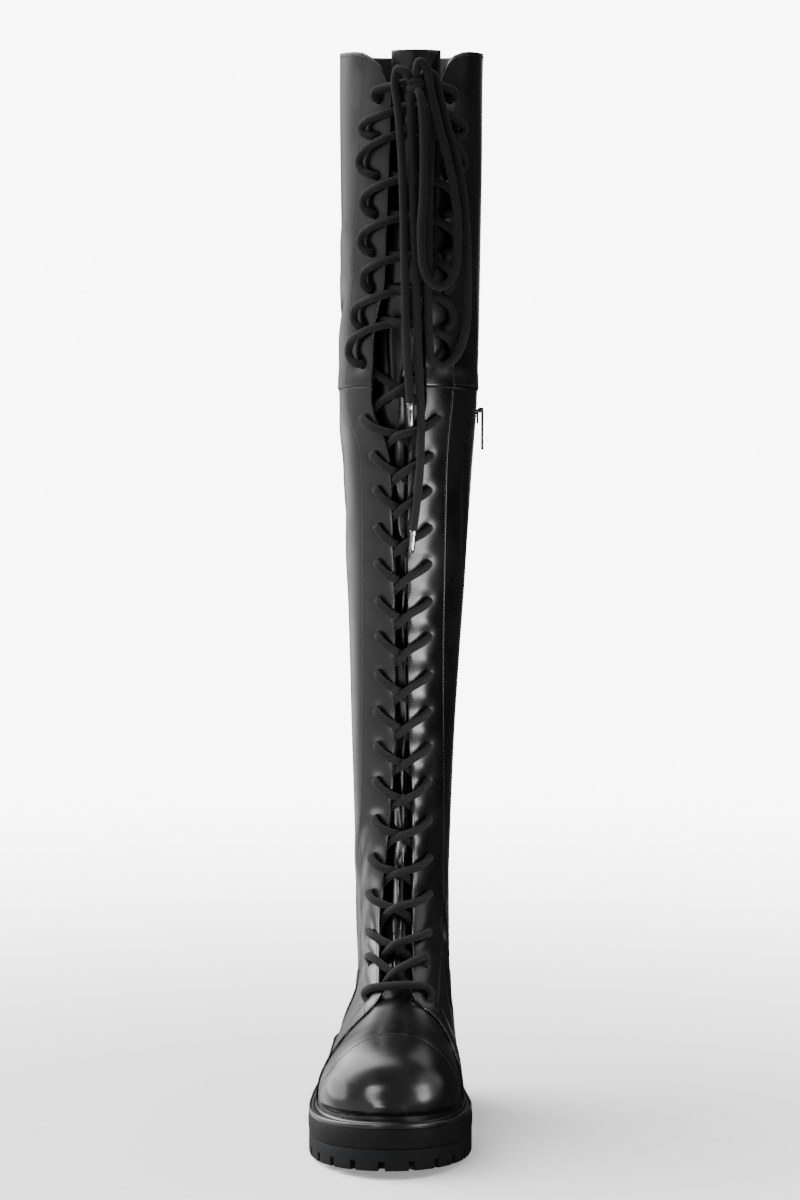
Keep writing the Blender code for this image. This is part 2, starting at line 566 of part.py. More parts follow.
def shell(name, holder, rows, slot=None):
    """Hollow wall between the first and last of the rows, open at the throat, foot and slot."""
    points, faces = [], []
    for side in (1, -1):
        grid = [skin_row(side, row) for row in rows]
        columns = len(grid[0])
        skip = {(r, 0) for r, row in enumerate(rows[:-1]) if row >= HEEL_TIP_ROW}
        if slot and side > 0:
            skip |= {(r, BACK_COLUMNS) for r, row in enumerate(rows[:-1]) if slot[0] <= row < slot[1]}
        start = len(points)
        for face in grid_faces(len(rows), columns, skip):
            corners = [start + k for k in face]
            faces.append(corners[::-1] if side > 0 else corners)
        points.extend(p for row in grid for p in row)
    made = place(name, mesh_of(name, points, faces, 0.05 * MM), "leather", holder, smooth=60)
    solidify(made, WALL)
    return made


# ---- places on the front and on the zip side ----------------------------------------------
def front_lines():
    """Rows of the front of the leg, each from its outer to its inner side."""
    rows = np.arange(THROAT_ROW, TOP_ROW + 0.01, 0.25)
    tail = SECTION_POINTS // 3
    return [np.vstack([half_section(-1, row)[tail:], half_section(1, row)[tail:][::-1]]) for row in rows]


FRONT_LINES = front_lines()


def front_y(x, z):
    """y of the upper's outer face on the front of the leg, the throat bridged over."""
    heights = [np.interp(x, line[:, 0], line[:, 2]) for line in FRONT_LINES]
    depths = [np.interp(x, line[:, 0], line[:, 1]) for line in FRONT_LINES]
    return float(np.interp(z, heights, depths))


def front_point(x, z, depth):
    """Point behind (or, with a negative depth, before) the outer face of the front."""
    reach = 1.5 * MM
    slope_x = (front_y(x + reach, z) - front_y(x - reach, z)) / (2 * reach)
    slope_z = (front_y(x, z + reach) - front_y(x, z - reach)) / (2 * reach)
    outward = np.array([slope_x, -1.0, slope_z])
    return np.array([x, front_y(x, z), z]) - outward / np.linalg.norm(outward) * depth


def throat_middle(z):
    return float(throat_at["outer"](z) + throat_at["inner"](z)) / 2


def zip_point(row, across, depth):
    """Point on the zip's line, across it towards the front, below the leather's outer face."""
    def face(at_row, shift):
        return along(trimmed_section(1, at_row), [float(zip_along(at_row)) + shift])[0]
    step = 1.5 * MM
    run = face(row + 0.05, across) - face(row - 0.05, across)
    side = face(row, across + step) - face(row, across - step)
    outward = np.cross(side, run)
    outward /= np.linalg.norm(outward)
    outward *= np.sign(outward[0])
    return face(row, across) - outward * depth


# ---- zip ---------------------------------------------------------------------------------
def strip(name, finish, holder, rows, half, depth, thick):
    """Band along the zip's line, its inner face at a depth below the leather, thick outward."""
    points = [zip_point(row, shift, depth) for row in rows for shift in (-half, half)]
    faces = [face[::-1] for face in grid_faces(len(rows), 2)]
    made = place(name, mesh_of(name, points, faces), finish, holder, smooth=60)
    solidify(made, thick, offset=1.0)
    return made


def box(name, finish, holder, centre, size):
    bpy.ops.mesh.primitive_cube_add(size=1.0, location=centre)
    made = bpy.context.active_object
    made.name = name
    made.data.name = name
    for vertex in made.data.vertices:
        vertex.co = Vector([c * s for c, s in zip(vertex.co, size)])
    made.data.materials.append(material(name + "_finish", finish))
    for old in list(made.users_collection):
        old.objects.unlink(made)
    holder.objects.link(made)
    edge = made.modifiers.new("edge", "BEVEL")
    edge.width = HARDWARE_BEVEL
    edge.segments = 1
    return made


def build_zip(holder):
    rows = [row for row in UPPER_ROWS if ZIP_ROWS[0] <= row <= ZIP_ROWS[1]]
    inside = [rows[0] + 0.1] + rows[1:-1] + [rows[-1] - 0.03]
    strip("zip_tape", "lining", holder, inside, ZIP_SLOT / 2 - TAPE_CLEAR, TAPE_DEPTH + TAPE_THICK, TAPE_THICK)
    chain = [rows[0] + 0.1] + rows[1:-1] + [CHAIN_TOP_ROW]
    strip("zip_chain", "zipper", holder, chain, CHAIN_WIDTH / 2, TAPE_DEPTH - GAP, CHAIN_THICK)
    under = zip_point(SLIDER_ROW, 0, 0)
    slider_x = under[0] + GAP + SLIDER_SIZE[0] / 2
    box("zip_slider", "zipper", holder, (slider_x, under[1], under[2]), SLIDER_SIZE)
    hinge = bpy.data.objects.new("zip_pull_axis", None)
    hinge.location = (slider_x + SLIDER_SIZE[0] / 2 + 2 * GAP + TAB_SIZE[0] / 2, under[1],
                      under[2] + SLIDER_SIZE[2] / 2)
    holder.objects.link(hinge)
    tab = box("zip_pull_tab", "zipper", holder, (0, 0, TAB_ABOVE - TAB_SIZE[2] / 2), TAB_SIZE)
    tab.parent = hinge


# ---- tongue ------------------------------------------------------------------------------
def build_tongue(holder):
    levels = np.linspace(TONGUE_BOTTOM, TONGUE_TOP, TONGUE_LEVELS)
    points = []
    for z in levels:
        middle = sum(throat_middle(z + shift) for shift in (-30 * MM, 0, 30 * MM)) / 3
        curled = float(eased((z - TONGUE_FREE) / (TONGUE_TOP - TONGUE_FREE - 60 * MM)))
        for across in np.linspace(-TONGUE_HALF, TONGUE_HALF, TONGUE_COLUMNS):
            laid = front_point(middle + across * 0.9, z, TONGUE_DEPTH)
            turn = across / TONGUE_CURL
            rolled = np.array([middle + TONGUE_CURL * math.sin(turn),
                               front_y(middle, z) + TONGUE_DEPTH + TONGUE_CURL * (1 - math.cos(turn)), z])
            points.append(laid + (rolled - laid) * curled)
    faces = grid_faces(TONGUE_LEVELS, TONGUE_COLUMNS)
    made = place("tongue", mesh_of("tongue", points, faces), "leather", holder, smooth=60)
    solidify(made, TONGUE_THICK)


# ---- lacing and bow ----------------------------------------------------------------------
def smooth_route(points, step, tight_ends):
    """Points about a step apart on a smooth curve through a route, closer by its tight ends."""
    route = np.array(points)
    walked = np.concatenate([[0.0], np.cumsum(np.linalg.norm(np.diff(route, axis=0), axis=1))])
    curve = [through(walked, route[:, k]) for k in range(3)]
    fine = np.linspace(0, walked[-1], 40 * len(route))
    line = np.stack([c(fine) for c in curve], axis=1)
    total = length_of(line)
    share = np.linspace(0, 1, round(total / step) + 1)
    share -= CORD_CROWDING * np.sin(tight_ends * math.pi * share) / (tight_ends * math.pi)
    return along(line, total * share)


def cord(name, finish, holder, points, radius, resolution):
    """Tube along points, as a curve with filled caps."""
    data = bpy.data.curves.new(name, "CURVE")
    data.dimensions = "3D"
    data.bevel_depth = radius
    data.bevel_resolution = resolution
    data.use_fill_caps = True
    line = data.splines.new("POLY")
    line.points.add(len(points) - 1)
    for slot, point in zip(line.points, points):
        slot.co = (*map(float, point), 1.0)
    return place(name, data, finish, holder)


def crossing(row):
    """Route of one crossing: over the leather from the outer eyelet to the inner one."""
    z, outer, inner, rise = (EYELETS[k][row] * MM for k in ("z", "outer", "inner", "rise"))
    middle = throat_middle(z)
    shape = LOOPED if row < ROWS_ABOVE_KNEE else STRAIGHT
    half = [(end + (middle - end) * share + out * MM * math.copysign(1, end - middle), z + rise * up)
            for end in (outer, inner) for share, out, up in shape]
    route = half[:len(shape)] + [(middle, z + rise)] + half[len(shape):][::-1]
    return [front_point(x, height, -(LACE / 2 + LACE_CLEAR)) for x, height in route]


def hung(x, z, before):
    """Point of the bow: before the leather, and less far round the leg than the leather goes."""
    x, z, before = x * MM, z * MM, before * MM
    near = min(x, BOW_TURN_X)
    y = front_y(near, z) + BOW_WRAP * (front_y(x, z) - front_y(near, z))
    return np.array([x, y - before, z])


def leaving(centre, towards):
    """Place just off the knot, on the way to a point."""
    way = towards - centre
    way /= np.linalg.norm(way)
    reach = 1 / np.linalg.norm(way / np.array(KNOT_SIZE))
    return centre + way * (reach + KNOT_CLEAR)


def build_lacing(holder):
    for row in range(len(EYELETS["z"])):
        cord(f"lace_row_{row + 1:02d}", "cord", holder, crossing(row), LACE / 2, 1)

    centre = hung(*KNOT_CENTRE)
    bpy.ops.mesh.primitive_uv_sphere_add(segments=10, ring_count=6, radius=1.0, location=centre)
    knot = bpy.context.active_object
    knot.name = "lace_knot"
    for vertex in knot.data.vertices:
        vertex.co = Vector([c * s for c, s in zip(vertex.co, KNOT_SIZE)])
    knot.data.materials.append(material("lace_knot_finish", "cord"))
    for old in list(knot.users_collection):
        old.objects.unlink(knot)
    holder.objects.link(knot)
    knot.data.shade_smooth()

    for name, route in ROUTES.items():
        points = [hung(*stop) for stop in route]
        points.insert(0, leaving(centre, points[0]))
        returns = name.startswith("lace_loop")
        if returns:
            points.append(leaving(centre, points[-1]))
        line = smooth_route(points, CORD_STEP * LACE, 2 if returns else 1)
        cord(name, "cord", holder, line, LACE / 2, CORD_SIDES)
        if name in AGLETS:
            tip_name, end = AGLETS[name]
            way = hung(*end) - line[-1]
            way /= np.linalg.norm(way)
            tip = [line[-1] + way * (GAP + AGLET_LENGTH * share) for share in (0, 1)]
            cord(tip_name, "steel", holder, tip, AGLET_RADIUS, CORD_SIDES)


def main():
    clear_scene()
    boot = collection("over_the_knee_boot")
    cutters = collection("cutters")
    build_sole(boot, cutters)
    shell("upper", boot, UPPER_ROWS, ZIP_ROWS)
    shell("thigh_shaft", boot, THIGH_ROWS)
    build_tongue(boot)
    build_zip(boot)
    build_lacing(boot)


main()
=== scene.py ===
"""Finish of the over-the-knee lace-up boot: leather panels, lining, tongue, zip, rope lace and
lugged sole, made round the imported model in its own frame.

Frame: metres, +Z up, toe towards -Y, inner side of the leg towards +X. Tables are in
millimetres. Side is +1 for the inner half of the boot and -1 for the outer half."""

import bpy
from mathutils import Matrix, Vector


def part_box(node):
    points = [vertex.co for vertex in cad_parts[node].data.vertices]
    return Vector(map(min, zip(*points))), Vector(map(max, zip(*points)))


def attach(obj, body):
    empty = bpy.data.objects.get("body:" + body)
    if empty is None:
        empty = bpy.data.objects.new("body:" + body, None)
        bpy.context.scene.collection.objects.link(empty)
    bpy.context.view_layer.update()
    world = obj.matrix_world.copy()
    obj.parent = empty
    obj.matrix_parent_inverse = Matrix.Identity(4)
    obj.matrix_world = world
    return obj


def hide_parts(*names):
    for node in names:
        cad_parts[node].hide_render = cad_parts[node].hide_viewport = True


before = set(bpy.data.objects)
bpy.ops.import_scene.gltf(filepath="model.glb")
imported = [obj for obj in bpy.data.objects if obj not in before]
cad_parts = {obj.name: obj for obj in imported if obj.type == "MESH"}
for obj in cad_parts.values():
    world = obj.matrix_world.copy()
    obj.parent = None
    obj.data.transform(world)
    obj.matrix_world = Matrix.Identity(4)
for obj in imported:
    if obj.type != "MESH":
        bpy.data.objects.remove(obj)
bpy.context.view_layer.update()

import math
from functools import partial

import bmesh
import bpy
import numpy as np
from mathutils import Matrix, Vector

MM = 0.001
INNER, OUTER = 1, -1
SIDE_NAMES = {OUTER: "outer", INNER: "inner"}

# ---- sole sizes ----
SOLE_LENGTH = 283 * MM
BALL_Y, TOE_ROUND, HEEL_ROUND = -46.5 * MM, 95 * MM, 48 * MM
TOE_POWER, HEEL_POWER = 2.05, 2.2
SOLE_STATIONS = 150
WELT_THICK, MIDSOLE_THICK, OUTSOLE_BASE = 3.3 * MM, 13.5 * MM, 8.2 * MM
TREAD_DEPTH, TOE_SPRING = 6.4 * MM, 6.0 * MM
WAIST_START, WAIST_END, HEEL_BREAST = 8 * MM, 24 * MM, 56 * MM
NOTCH_WIDTH, NOTCH_REACH, NOTCH_PITCH = 4.6 * MM, 13 * MM, 21 * MM
CUT_HALF, CUT_BEYOND = 10 * MM, 4 * MM
CENTRE_LUG_HALF, CENTRE_FRONT, CENTRE_REAR, CENTRE_LUGS = 22 * MM, -98 * MM, 2 * MM, 5
CENTRE_GROOVE_DEPTH = 6.2 * MM
SOLE_WIDTH = dict(
    y=(-141.5, -46.5, -20, 10, 40, 70, 95, 141.5),
    outer=(55.5, 55.5, 54.5, 51, 47.5, 45.5, 44.5, 44.5),
    inner=(55.5, 55.5, 52.5, 47.5, 43.2, 42.8, 43.5, 43.5))
SOLE_TOP = dict(
    y=(-141.5, -110, -80, -50, -20, 10, 40, 70, 100, 141.5),
    height=(37.5, 34.2, 32.2, 31.3, 32.2, 35.5, 40.5, 44.5, 46.6, 47.2),
    ledge=(9.0, 8.2, 7.0, 6.0, 5.4, 5.0, 5.0, 5.2, 5.8, 7.0))

# ---- upper sizes: the fan of sections that the leather's outer face runs through ----
GAP, LASTING_MARGIN = 0.3 * MM, 4 * MM
SECTIONS = dict(
    back_y=(-132.5, -129.6, -123, -113, -99, -81, -60, -38, -12, 17, 47, 76, 102, 121, 131, 134.5,
            136.2, 136.2, 132, 125, 119.5, 118.5, 121.5, 128, 134, 138, 138.5, 136, 138, 143, 147, 150),
    lift=(0, 0, 0, 0, 0, 0, 0, 0, 0, 0, 0, 0, 0, 0, 0, 0,
          12, 28, 48, 74, 106, 146, 192, 242, 290, 335, 385, 459, 500, 560, 628, 696),
    front_y=(-132.5, -134.2, -133, -127.5, -117, -100, -80, -60, -41, -22, -5, 9, 18, 22, 24, 24.5,
             24.5, 24.5, 24, 23, 21, 17.5, 12, 5.5, 0, -4, -6.5, -6.5, -9, -14, -18, -21),
    front_z=(40.5, 50, 60.5, 71.5, 79.5, 85.0, 88.8, 93.2, 99.5, 112, 126.5, 141.5, 156, 168, 179, 190,
             202, 216, 232, 252, 275, 304, 337, 373, 408, 440, 474, 521, 555, 612, 678, 744),
    low=(10, 12.5, 24.5, 34, 41.0, 46, 48.8, 47.5, 46, 43.5, 41.5, 40, 39.5, 39, 38.5, 38.2,
         38, 37.5, 36.5, 35, 34.5, 35.5, 37, 39, 41, 43, 45, 48.4, 48.8, 48.8, 49.2, 49.8),
    high=(8, 11, 22, 31, 37, 40.5, 42.5, 42, 40, 38, 36, 33.5, 31.5, 30.6, 30.5, 30.5,
          30.6, 31, 31.5, 32.2, 33.5, 35, 36.6, 38.6, 41, 43, 45, 48.6, 48.8, 48.8, 49.2, 49.8),
    centre=(0, 0, 0, 0, 0, 0.3, 1, 2.6, 4.4, 4.4, 4.4, 4.4, 4.4, 4.4, 4.4, 4.6,
            4.6, 4.8, 4.8, 4.8, 5.2, 5.8, 6.6, 7.4, 8.2, 8.6, 9.2, 10.2, 10.8, 11.4, 12, 12.6),
    back_centre=(0, 0, 0, 0, 0, 0, 0, 0, 0, 0, 0, 0, 0, 0, 0, 0,
                 0.3, 1, 2, 3.2, 4.4, 5.4, 6.4, 7.4, 8.2, 8.6, 9.2, 10.2, 10.8, 11.4, 12, 12.6),
    back_round=(.30, .30, .25, .20, .18, .18, .18, .20, .22, .22, .20, .18, .18, .20, .23, .25,
                .27, .29, .32, .36, .41, .45, .47, .48, .48, .47, .46, .45, .44, .44, .43, .43),
    front_round=(.70, .70, .72, .76, .80, .82, .82, .80, .76, .70, .62, .55, .50, .47, .45, .44,
                 .43, .43, .43, .43, .44, .45, .46, .46, .45, .46, .47, .48, .48, .48, .48, .48),
    power=(2.0, 2.0, 2.1, 2.2, 2.25, 2.3, 2.25, 2.1, 2.0, 1.95, 1.9, 1.9, 1.9, 1.9, 1.95, 2.0,
           2.0, 2.0, 2.0, 2.0, 2.0, 2.0, 2.0, 2.0, 2.0, 2.0, 2.0, 2.05, 2.1, 2.1, 2.1, 2.1))
SHARES = ("back_round", "front_round", "power")
# how far the ankle's outer side is drawn in, by height at the leg's back; the height rises forwards
ANKLE_HOLLOW = dict(
    z=(40, 47, 53, 62, 70, 76, 86, 100, 115, 130, 146, 161, 176, 195, 215),
    by=(0, 0, 1.0, 2.8, 4.6, 6.3, 8.0, 7.7, 6.2, 4.4, 3.0, 2.1, 1.2, 0.4, 0))
ANKLE_SLANT, ANKLE_REAR, ANKLE_FROM, ANKLE_FULL = 0.13, 90 * MM, 8 * MM, 30 * MM
ANKLE_MIDDLE, ANKLE_BACKWARD, ANKLE_FORWARD, ANKLE_FADE = 0.7, 60 * MM, -20 * MM, 90 * MM
HEEL_TIP_ROW, THROAT_ROW, TOP_ROW = 15, 8.0, 31
CENTRE_SHIFT = 0.6
THROAT = dict(
    z=(99, 101, 106, 118, 147, 195, 234, 276, 344, 431, 462, 480, 490, 500, 510, 521,
       549, 570, 588, 619, 657, 711, 745),
    outer=(3.5, -2.5, -6.5, -8.5, -9.0, -4.4, -0.5, 1.6, 2.0, 0.0, -0.8, -4.0, -7.5, -12.5, -14.0, -13.4,
           -12.5, -9.0, -4.5, -3.3, -1.6, 0.2, 0.2),
    inner=(5.5, 11.5, 14.5, 14.8, 14.0, 13.6, 13.6, 11.2, 10.6, 10.8, 11.0, 12.5, 17.5, 22.5, 23.5, 23.0,
           23.5, 25.5, 27.5, 29.0, 30.5, 32.5, 32.5))
COLLAR_CUT = dict(share=(0, .07, .18, .32, .54, .76, 1, 1.4), drop=(1, .82, .59, .37, .20, .10, .03, 0))
COLLAR_CUT_RUN, COLLAR_CUT_DROP = {OUTER: 28 * MM, INNER: 24 * MM}, {OUTER: 28 * MM, INNER: 23 * MM}

# ---- zip, tongue and lacing sizes ----
ZIP_LINE = dict(
    z=(40, 70, 110, 160, 220, 300, 400, 530),
    y=(70, 73, 76, 77, 75, 69, 62, 58))
ZIP_ROWS = (11.5, 26.8)
ZIP_SLOT, CHAIN_TOP_ROW = 9.0 * MM, 26.45
TONGUE_DEPTH, TONGUE_HALF, TONGUE_WALL = 8.4 * MM, 25 * MM, 1.5 * MM
TONGUE_BOTTOM, TONGUE_TOP, TONGUE_FREE, TONGUE_CURL = 100 * MM, 745 * MM, 600 * MM, 17 * MM
TONGUE_ROLLED, TONGUE_EASE, TONGUE_SPREAD = 685 * MM, 30 * MM, 0.9
LACE = 5.6 * MM
# eyelet rows from the top: height, outer and inner eyelet, how far the crossing lies above the
# eyelet, how far the lace arches up beside it, and how far a loop swings out from it
EYELETS = dict(
    z=(711, 686, 660, 634, 608, 583, 557, 532, 495, 470, 446, 420, 395, 369, 344, 317, 291, 266, 241,
       214, 187, 161, 135, 118, 98),
    outer=(-8.5, -8.8, -9.5, -11.4, -13.0, -14.0, -19.0, -21.2, -19.5, -12.8, -10.5, -9.9, -9.8, -9.6, -9.6,
           -10.2, -10.8, -11.0, -11.7, -12.8, -14.6, -16.0, -15.4, -15.4, -16.0),
    inner=(39.5, 37.5, 36.5, 36, 36, 35.5, 35, 34.5, 31.0, 26.2, 25.0, 25.2, 24.8, 25.0, 24.8,
           24.7, 24.2, 24.4, 23.4, 24.5, 24.5, 24.5, 24.4, 23.0, 25.5),
    cross=(9, 17, 27, 22, 22, 20, 23, 26, -11, -13, -13, -13, -13, -13, -13, -13, -13, -12, -12,
           -10, -9, -7, -4, -3, 7),
    arch=(3, 0, 0, 0, 0, 0, 0, 0, 0, 0, 0, 0, 0, 0, 0, 0, 0, 0, 0, 0, 0, 0.5, 1.5, 4.5, 7.5),
    swing=(3, 8.0, 9.0, 4.7, 4.7, 2.4, 3.4, 4.6, 0, 0, 0, 0, 0, 0, 0, 0, 0, 0, 0, 0, 0, 0, 0, 0, 0))
ROWS_ABOVE_KNEE, ROW_COUNT = 8, 25
KNOT_CENTRE = (16.5, 721.5, 13.5)
KNOT_SIZE, KNOT_CLEAR, KNOT_SHRINK = (5.4 * MM, 5.6 * MM, 5.2 * MM), 0.7 * MM, 0.8
BOW_TURN_X, BOW_WRAP = 30 * MM, 0.4
# routes of the bow: x, z and distance in front of the leather
ROUTES = dict(
    lace_end_left=((10.0, 729, 14), (4.6, 731, 13), (2.6, 722, 11), (4.6, 706, 10), (6.8, 680, 10),
                   (8.2, 645, 10), (9.0, 603, 10), (9.8, 563, 10.5), (11.2, 530, 11), (12.8, 507, 11)),
    lace_end_right=((14.0, 713.5, 12), (13.6, 703, 10.5), (14.2, 677, 10), (15.0, 643, 10),
                    (16.3, 603, 10), (17.6, 563, 10.5), (19.2, 523, 11), (20.2, 489, 10.5),
                    (19.4, 461, 10), (17.2, 438, 10), (14.8, 420, 10)),
    lace_loop_small=((17.2, 730.5, 17.5), (19.6, 736, 19), (23.6, 731.5, 19), (27.6, 713, 18),
                     (32.4, 693, 17.5), (37.8, 673, 17), (42.3, 650, 17), (45.0, 627, 17),
                     (45.0, 606, 17), (41.0, 591, 17.5), (33.3, 585, 18), (25.5, 590, 18),
                     (20.9, 603, 17.5), (20.2, 622, 17), (21.6, 645, 17), (22.2, 676, 17),
                     (21.6, 698, 18), (20.0, 712.5, 20.5)),
    lace_loop_large=((24.0, 729, 12), (29.0, 727, 11), (33.0, 712, 10), (38.0, 693, 10),
                     (44.5, 670, 10), (49.2, 643, 10), (51.2, 616, 10), (51.8, 590, 10),
                     (51.6, 568, 10.5), (49.2, 551, 11), (43.2, 537, 11), (34.3, 532, 11),
                     (27.0, 538, 10.5), (25.4, 556, 10), (25.0, 583, 10), (25.4, 610, 10),
                     (25.8, 637, 10), (26.4, 664, 10), (27.2, 692, 10), (27.4, 705, 10.3),
                     (24.2, 714.5, 11.5)))
AGLET_ENDS = dict(lace_end_left=("aglet_left", (13.4, 489, 11)),
                  lace_end_right=("aglet_right", (13.6, 404, 10)))
# distance from the lace's end and radius, in mm
AGLET_SIDES, AGLET_PROFILE = 16, (
    (0.0, 2.45), (0.4, 2.6), (3.2, 2.55), (4.0, 2.25), (5.0, 2.25), (5.8, 2.4), (12.5, 2.15),
    (15.0, 1.75), (16.0, 0.9))


# ---- curves ----
def through(stations, values):
    """Monotone cubic curve through a table's rows, as a function of the station."""
    x, v = np.asarray(stations, float), np.asarray(values, float)
    step = np.diff(x)
    slope = np.diff(v) / step
    tangent = np.zeros(len(x))
    for i in range(1, len(x) - 1):
        if slope[i - 1] * slope[i] > 0:
            first, second = 2 * step[i] + step[i - 1], step[i] + 2 * step[i - 1]
            tangent[i] = (first + second) / (first / slope[i - 1] + second / slope[i])
    tangent[0], tangent[-1] = slope[0], slope[-1]

    def value(at):
        at = np.clip(at, x[0], x[-1])
        i = np.clip(np.searchsorted(x, at, side="right") - 1, 0, len(x) - 2)
        t = (at - x[i]) / step[i]
        return ((1 + 2 * t) * (1 - t) ** 2 * v[i] + t * (1 - t) ** 2 * step[i] * tangent[i]
                + t * t * (3 - 2 * t) * v[i + 1] + t * t * (t - 1) * step[i] * tangent[i + 1])
    return value


def curves(table, key):
    """Every column of a table in millimetres as a curve in metres over its key column."""
    return {name: through(np.array(table[key]) * MM, np.array(column) * MM)
            for name, column in table.items() if name != key}


def eased(t):
    t = np.clip(t, 0.0, 1.0)
    return t * t * (3 - 2 * t)


def bell(distance, width):
    """Soft bump of height 1 that fades out at about twice its width."""
    return np.exp(-(distance / width) ** 2)


def walked_along(points):
    return np.concatenate([[0.0], np.cumsum(np.linalg.norm(np.diff(points, axis=0), axis=1))])


def along(points, distances):
    """Points at the given distances along a polyline."""
    walked = walked_along(points)
    return np.stack([np.interp(distances, walked, points[:, k]) for k in range(3)], axis=1)


def smooth_route(points, step):
    """Points a step apart on a smooth curve through a route."""
    route = np.array(points)
    walked = walked_along(route)
    curve = [through(walked, route[:, k]) for k in range(3)]
    line = np.stack([c(np.linspace(0, walked[-1], 30 * len(route))) for c in curve], axis=1)
    total = walked_along(line)[-1]
    return along(line, np.linspace(0, total, round(total / step) + 1))


# ---- sole outline and levels ----
width_at = curves(SOLE_WIDTH, "y")
level_at = curves(SOLE_TOP, "y")
TOE_TIP, HEEL_TIP = -SOLE_LENGTH / 2, SOLE_LENGTH / 2


def sole_half(side, y):
    half = width_at[SIDE_NAMES[side]](y)
    toe = np.clip((BALL_Y - y) / TOE_ROUND, 0, 1)
    heel = np.clip((y - (HEEL_TIP - HEEL_ROUND)) / HEEL_ROUND, 0, 1)
    return half * (1 - toe ** TOE_POWER) ** (1 / TOE_POWER) * (1 - heel ** HEEL_POWER) ** (1 / HEEL_POWER)


def sole_stations(first=TOE_TIP, last=HEEL_TIP, round_first=True):
    """Stations from toe to heel, crowded where the outline turns round an end."""
    t = np.linspace(0, 1, SOLE_STATIONS + 1)
    if round_first:
        return first + (last - first) * (1 - np.cos(math.pi * t)) / 2
    return first + (last - first) * np.sin(t * math.pi / 2)


def outline(side, inset, stations):
    """One side of the sole's outline, moved inward by inset(y), as x and y."""
    fine = sole_stations()
    points = np.stack([sole_half(side, fine) * side, fine], axis=1)
    run = np.gradient(points, axis=0)
    run[0], run[-1] = (side, 0), (-side, 0)
    run /= np.linalg.norm(run, axis=1)[:, None]
    inward = np.stack([-run[:, 1] * side, run[:, 0] * side], axis=1)
    moved = points + inward * inset(fine)[:, None]
    moved[0, 0] = moved[-1, 0] = 0.0
    share = (stations - TOE_TIP) / (HEEL_TIP - TOE_TIP)
    y = moved[0, 1] + (moved[-1, 1] - moved[0, 1]) * share
    return np.interp(y, moved[:, 1], moved[:, 0]), y


def foot_line(side, y):
    """x of the upper's foot on the welt at y."""
    x, at = outline(side, level_at["ledge"], sole_stations())
    return np.interp(y, at, x, left=0.0, right=0.0)


def welt_top(y):
    return level_at["height"](y)


def base_bottom(y):
    return welt_top(y) - WELT_THICK - MIDSOLE_THICK - OUTSOLE_BASE


def tread_bottom(y):
    spring = TOE_SPRING * np.clip((BALL_Y - y) / TOE_ROUND, 0, 1) ** 1.6
    return spring + (base_bottom(y) - spring) * eased((y - WAIST_START) / (WAIST_END - WAIST_START))


# ---- the leather's outer face as a fine lattice ----
section_at = {name: through(range(len(column)), np.array(column) * (1 if name in SHARES else MM))
              for name, column in SECTIONS.items()}
throat_at = {side: curves(THROAT, "z")[name] for side, name in SIDE_NAMES.items()}
zip_y = curves(ZIP_LINE, "z")["y"]
hollow_at = curves(ANKLE_HOLLOW, "z")["by"]
GRID_ROWS = np.arange(0, TOP_ROW + 0.001, 0.05)
GRID_STEPS, SECTION_POINTS = 240, 240


def ankle_hollow(x, y, z):
    """How far the ankle's outer side is drawn in at points of it."""
    rearward = ANKLE_MIDDLE * (1 - eased((ANKLE_FORWARD - y) / ANKLE_FADE))
    rearward += (1 - ANKLE_MIDDLE) * eased(y / ANKLE_BACKWARD)
    level = z - ANKLE_SLANT * (ANKLE_REAR - y)
    return hollow_at(level) * rearward * eased((-x - ANKLE_FROM) / (ANKLE_FULL - ANKLE_FROM))


def half_sections(side, rows):
    """Half sections at many rows, each from the welt or the back of the leg to its front.

    Up to the heel's tip a section starts on the welt, and above it at the back of the leg."""
    now = {name: curve(rows)[:, None] for name, curve in section_at.items()}
    u = (1 - np.cos(math.pi * np.linspace(0, 1, SECTION_POINTS)))[None] / 2
    on_sole = rows[:, None] < HEEL_TIP_ROW
    foot_z = welt_top(now["back_y"]) + GAP
    foot_x = np.where(on_sole, foot_line(side, now["back_y"]), 0.0)
    start = side * foot_x / now["low"]
    back = np.clip(u / now["back_round"], 0, 1)
    front = np.clip((u - 1 + now["front_round"]) / now["front_round"], 0, 1)
    lower = np.sqrt(start ** 2 + (1 - start ** 2) * (1 - (1 - back) ** 2))
    upper = (1 - front ** now["power"]) ** (1 / now["power"])
    half = (now["low"] + (now["high"] - now["low"]) * eased(u)) * lower * upper
    middle = now["back_centre"] + (now["centre"] - now["back_centre"]) * eased(u / CENTRE_SHIFT)
    z = foot_z + LASTING_MARGIN + now["lift"]
    points = np.stack([middle + side * half,
                       now["back_y"] + (now["front_y"] - now["back_y"]) * u,
                       z + (now["front_z"] - z) * u], axis=2)
    if side == OUTER:
        points[..., 0] += ankle_hollow(*np.moveaxis(points, 2, 0))
    foot = np.stack([foot_x, now["back_y"], foot_z], axis=2)
    standing = (rows <= HEEL_TIP_ROW)[:, None, None]
    return np.concatenate([np.where(standing, foot, points[:, :1]), points], axis=1)


def lattice(side):
    """Positions, outward normals and lengths of the half sections, evenly spaced along each."""
    sections = half_sections(side, GRID_ROWS)
    lengths = np.array([walked_along(section)[-1] for section in sections])
    at = np.linspace(0, 1, GRID_STEPS + 1)
    points = np.stack([along(section, at * length) for section, length in zip(sections, lengths)])
    normals = np.cross(np.gradient(points, axis=0), np.gradient(points, axis=1)) * side
    normals[GRID_ROWS < THROAT_ROW, -1, 0] = 0.0
    normals[GRID_ROWS >= HEEL_TIP_ROW, 0, 0] = 0.0
    size = np.linalg.norm(normals, axis=2, keepdims=True)
    return points, normals / np.maximum(size, 1e-12), lengths


LATTICE = {side: lattice(side) for side in (INNER, OUTER)}


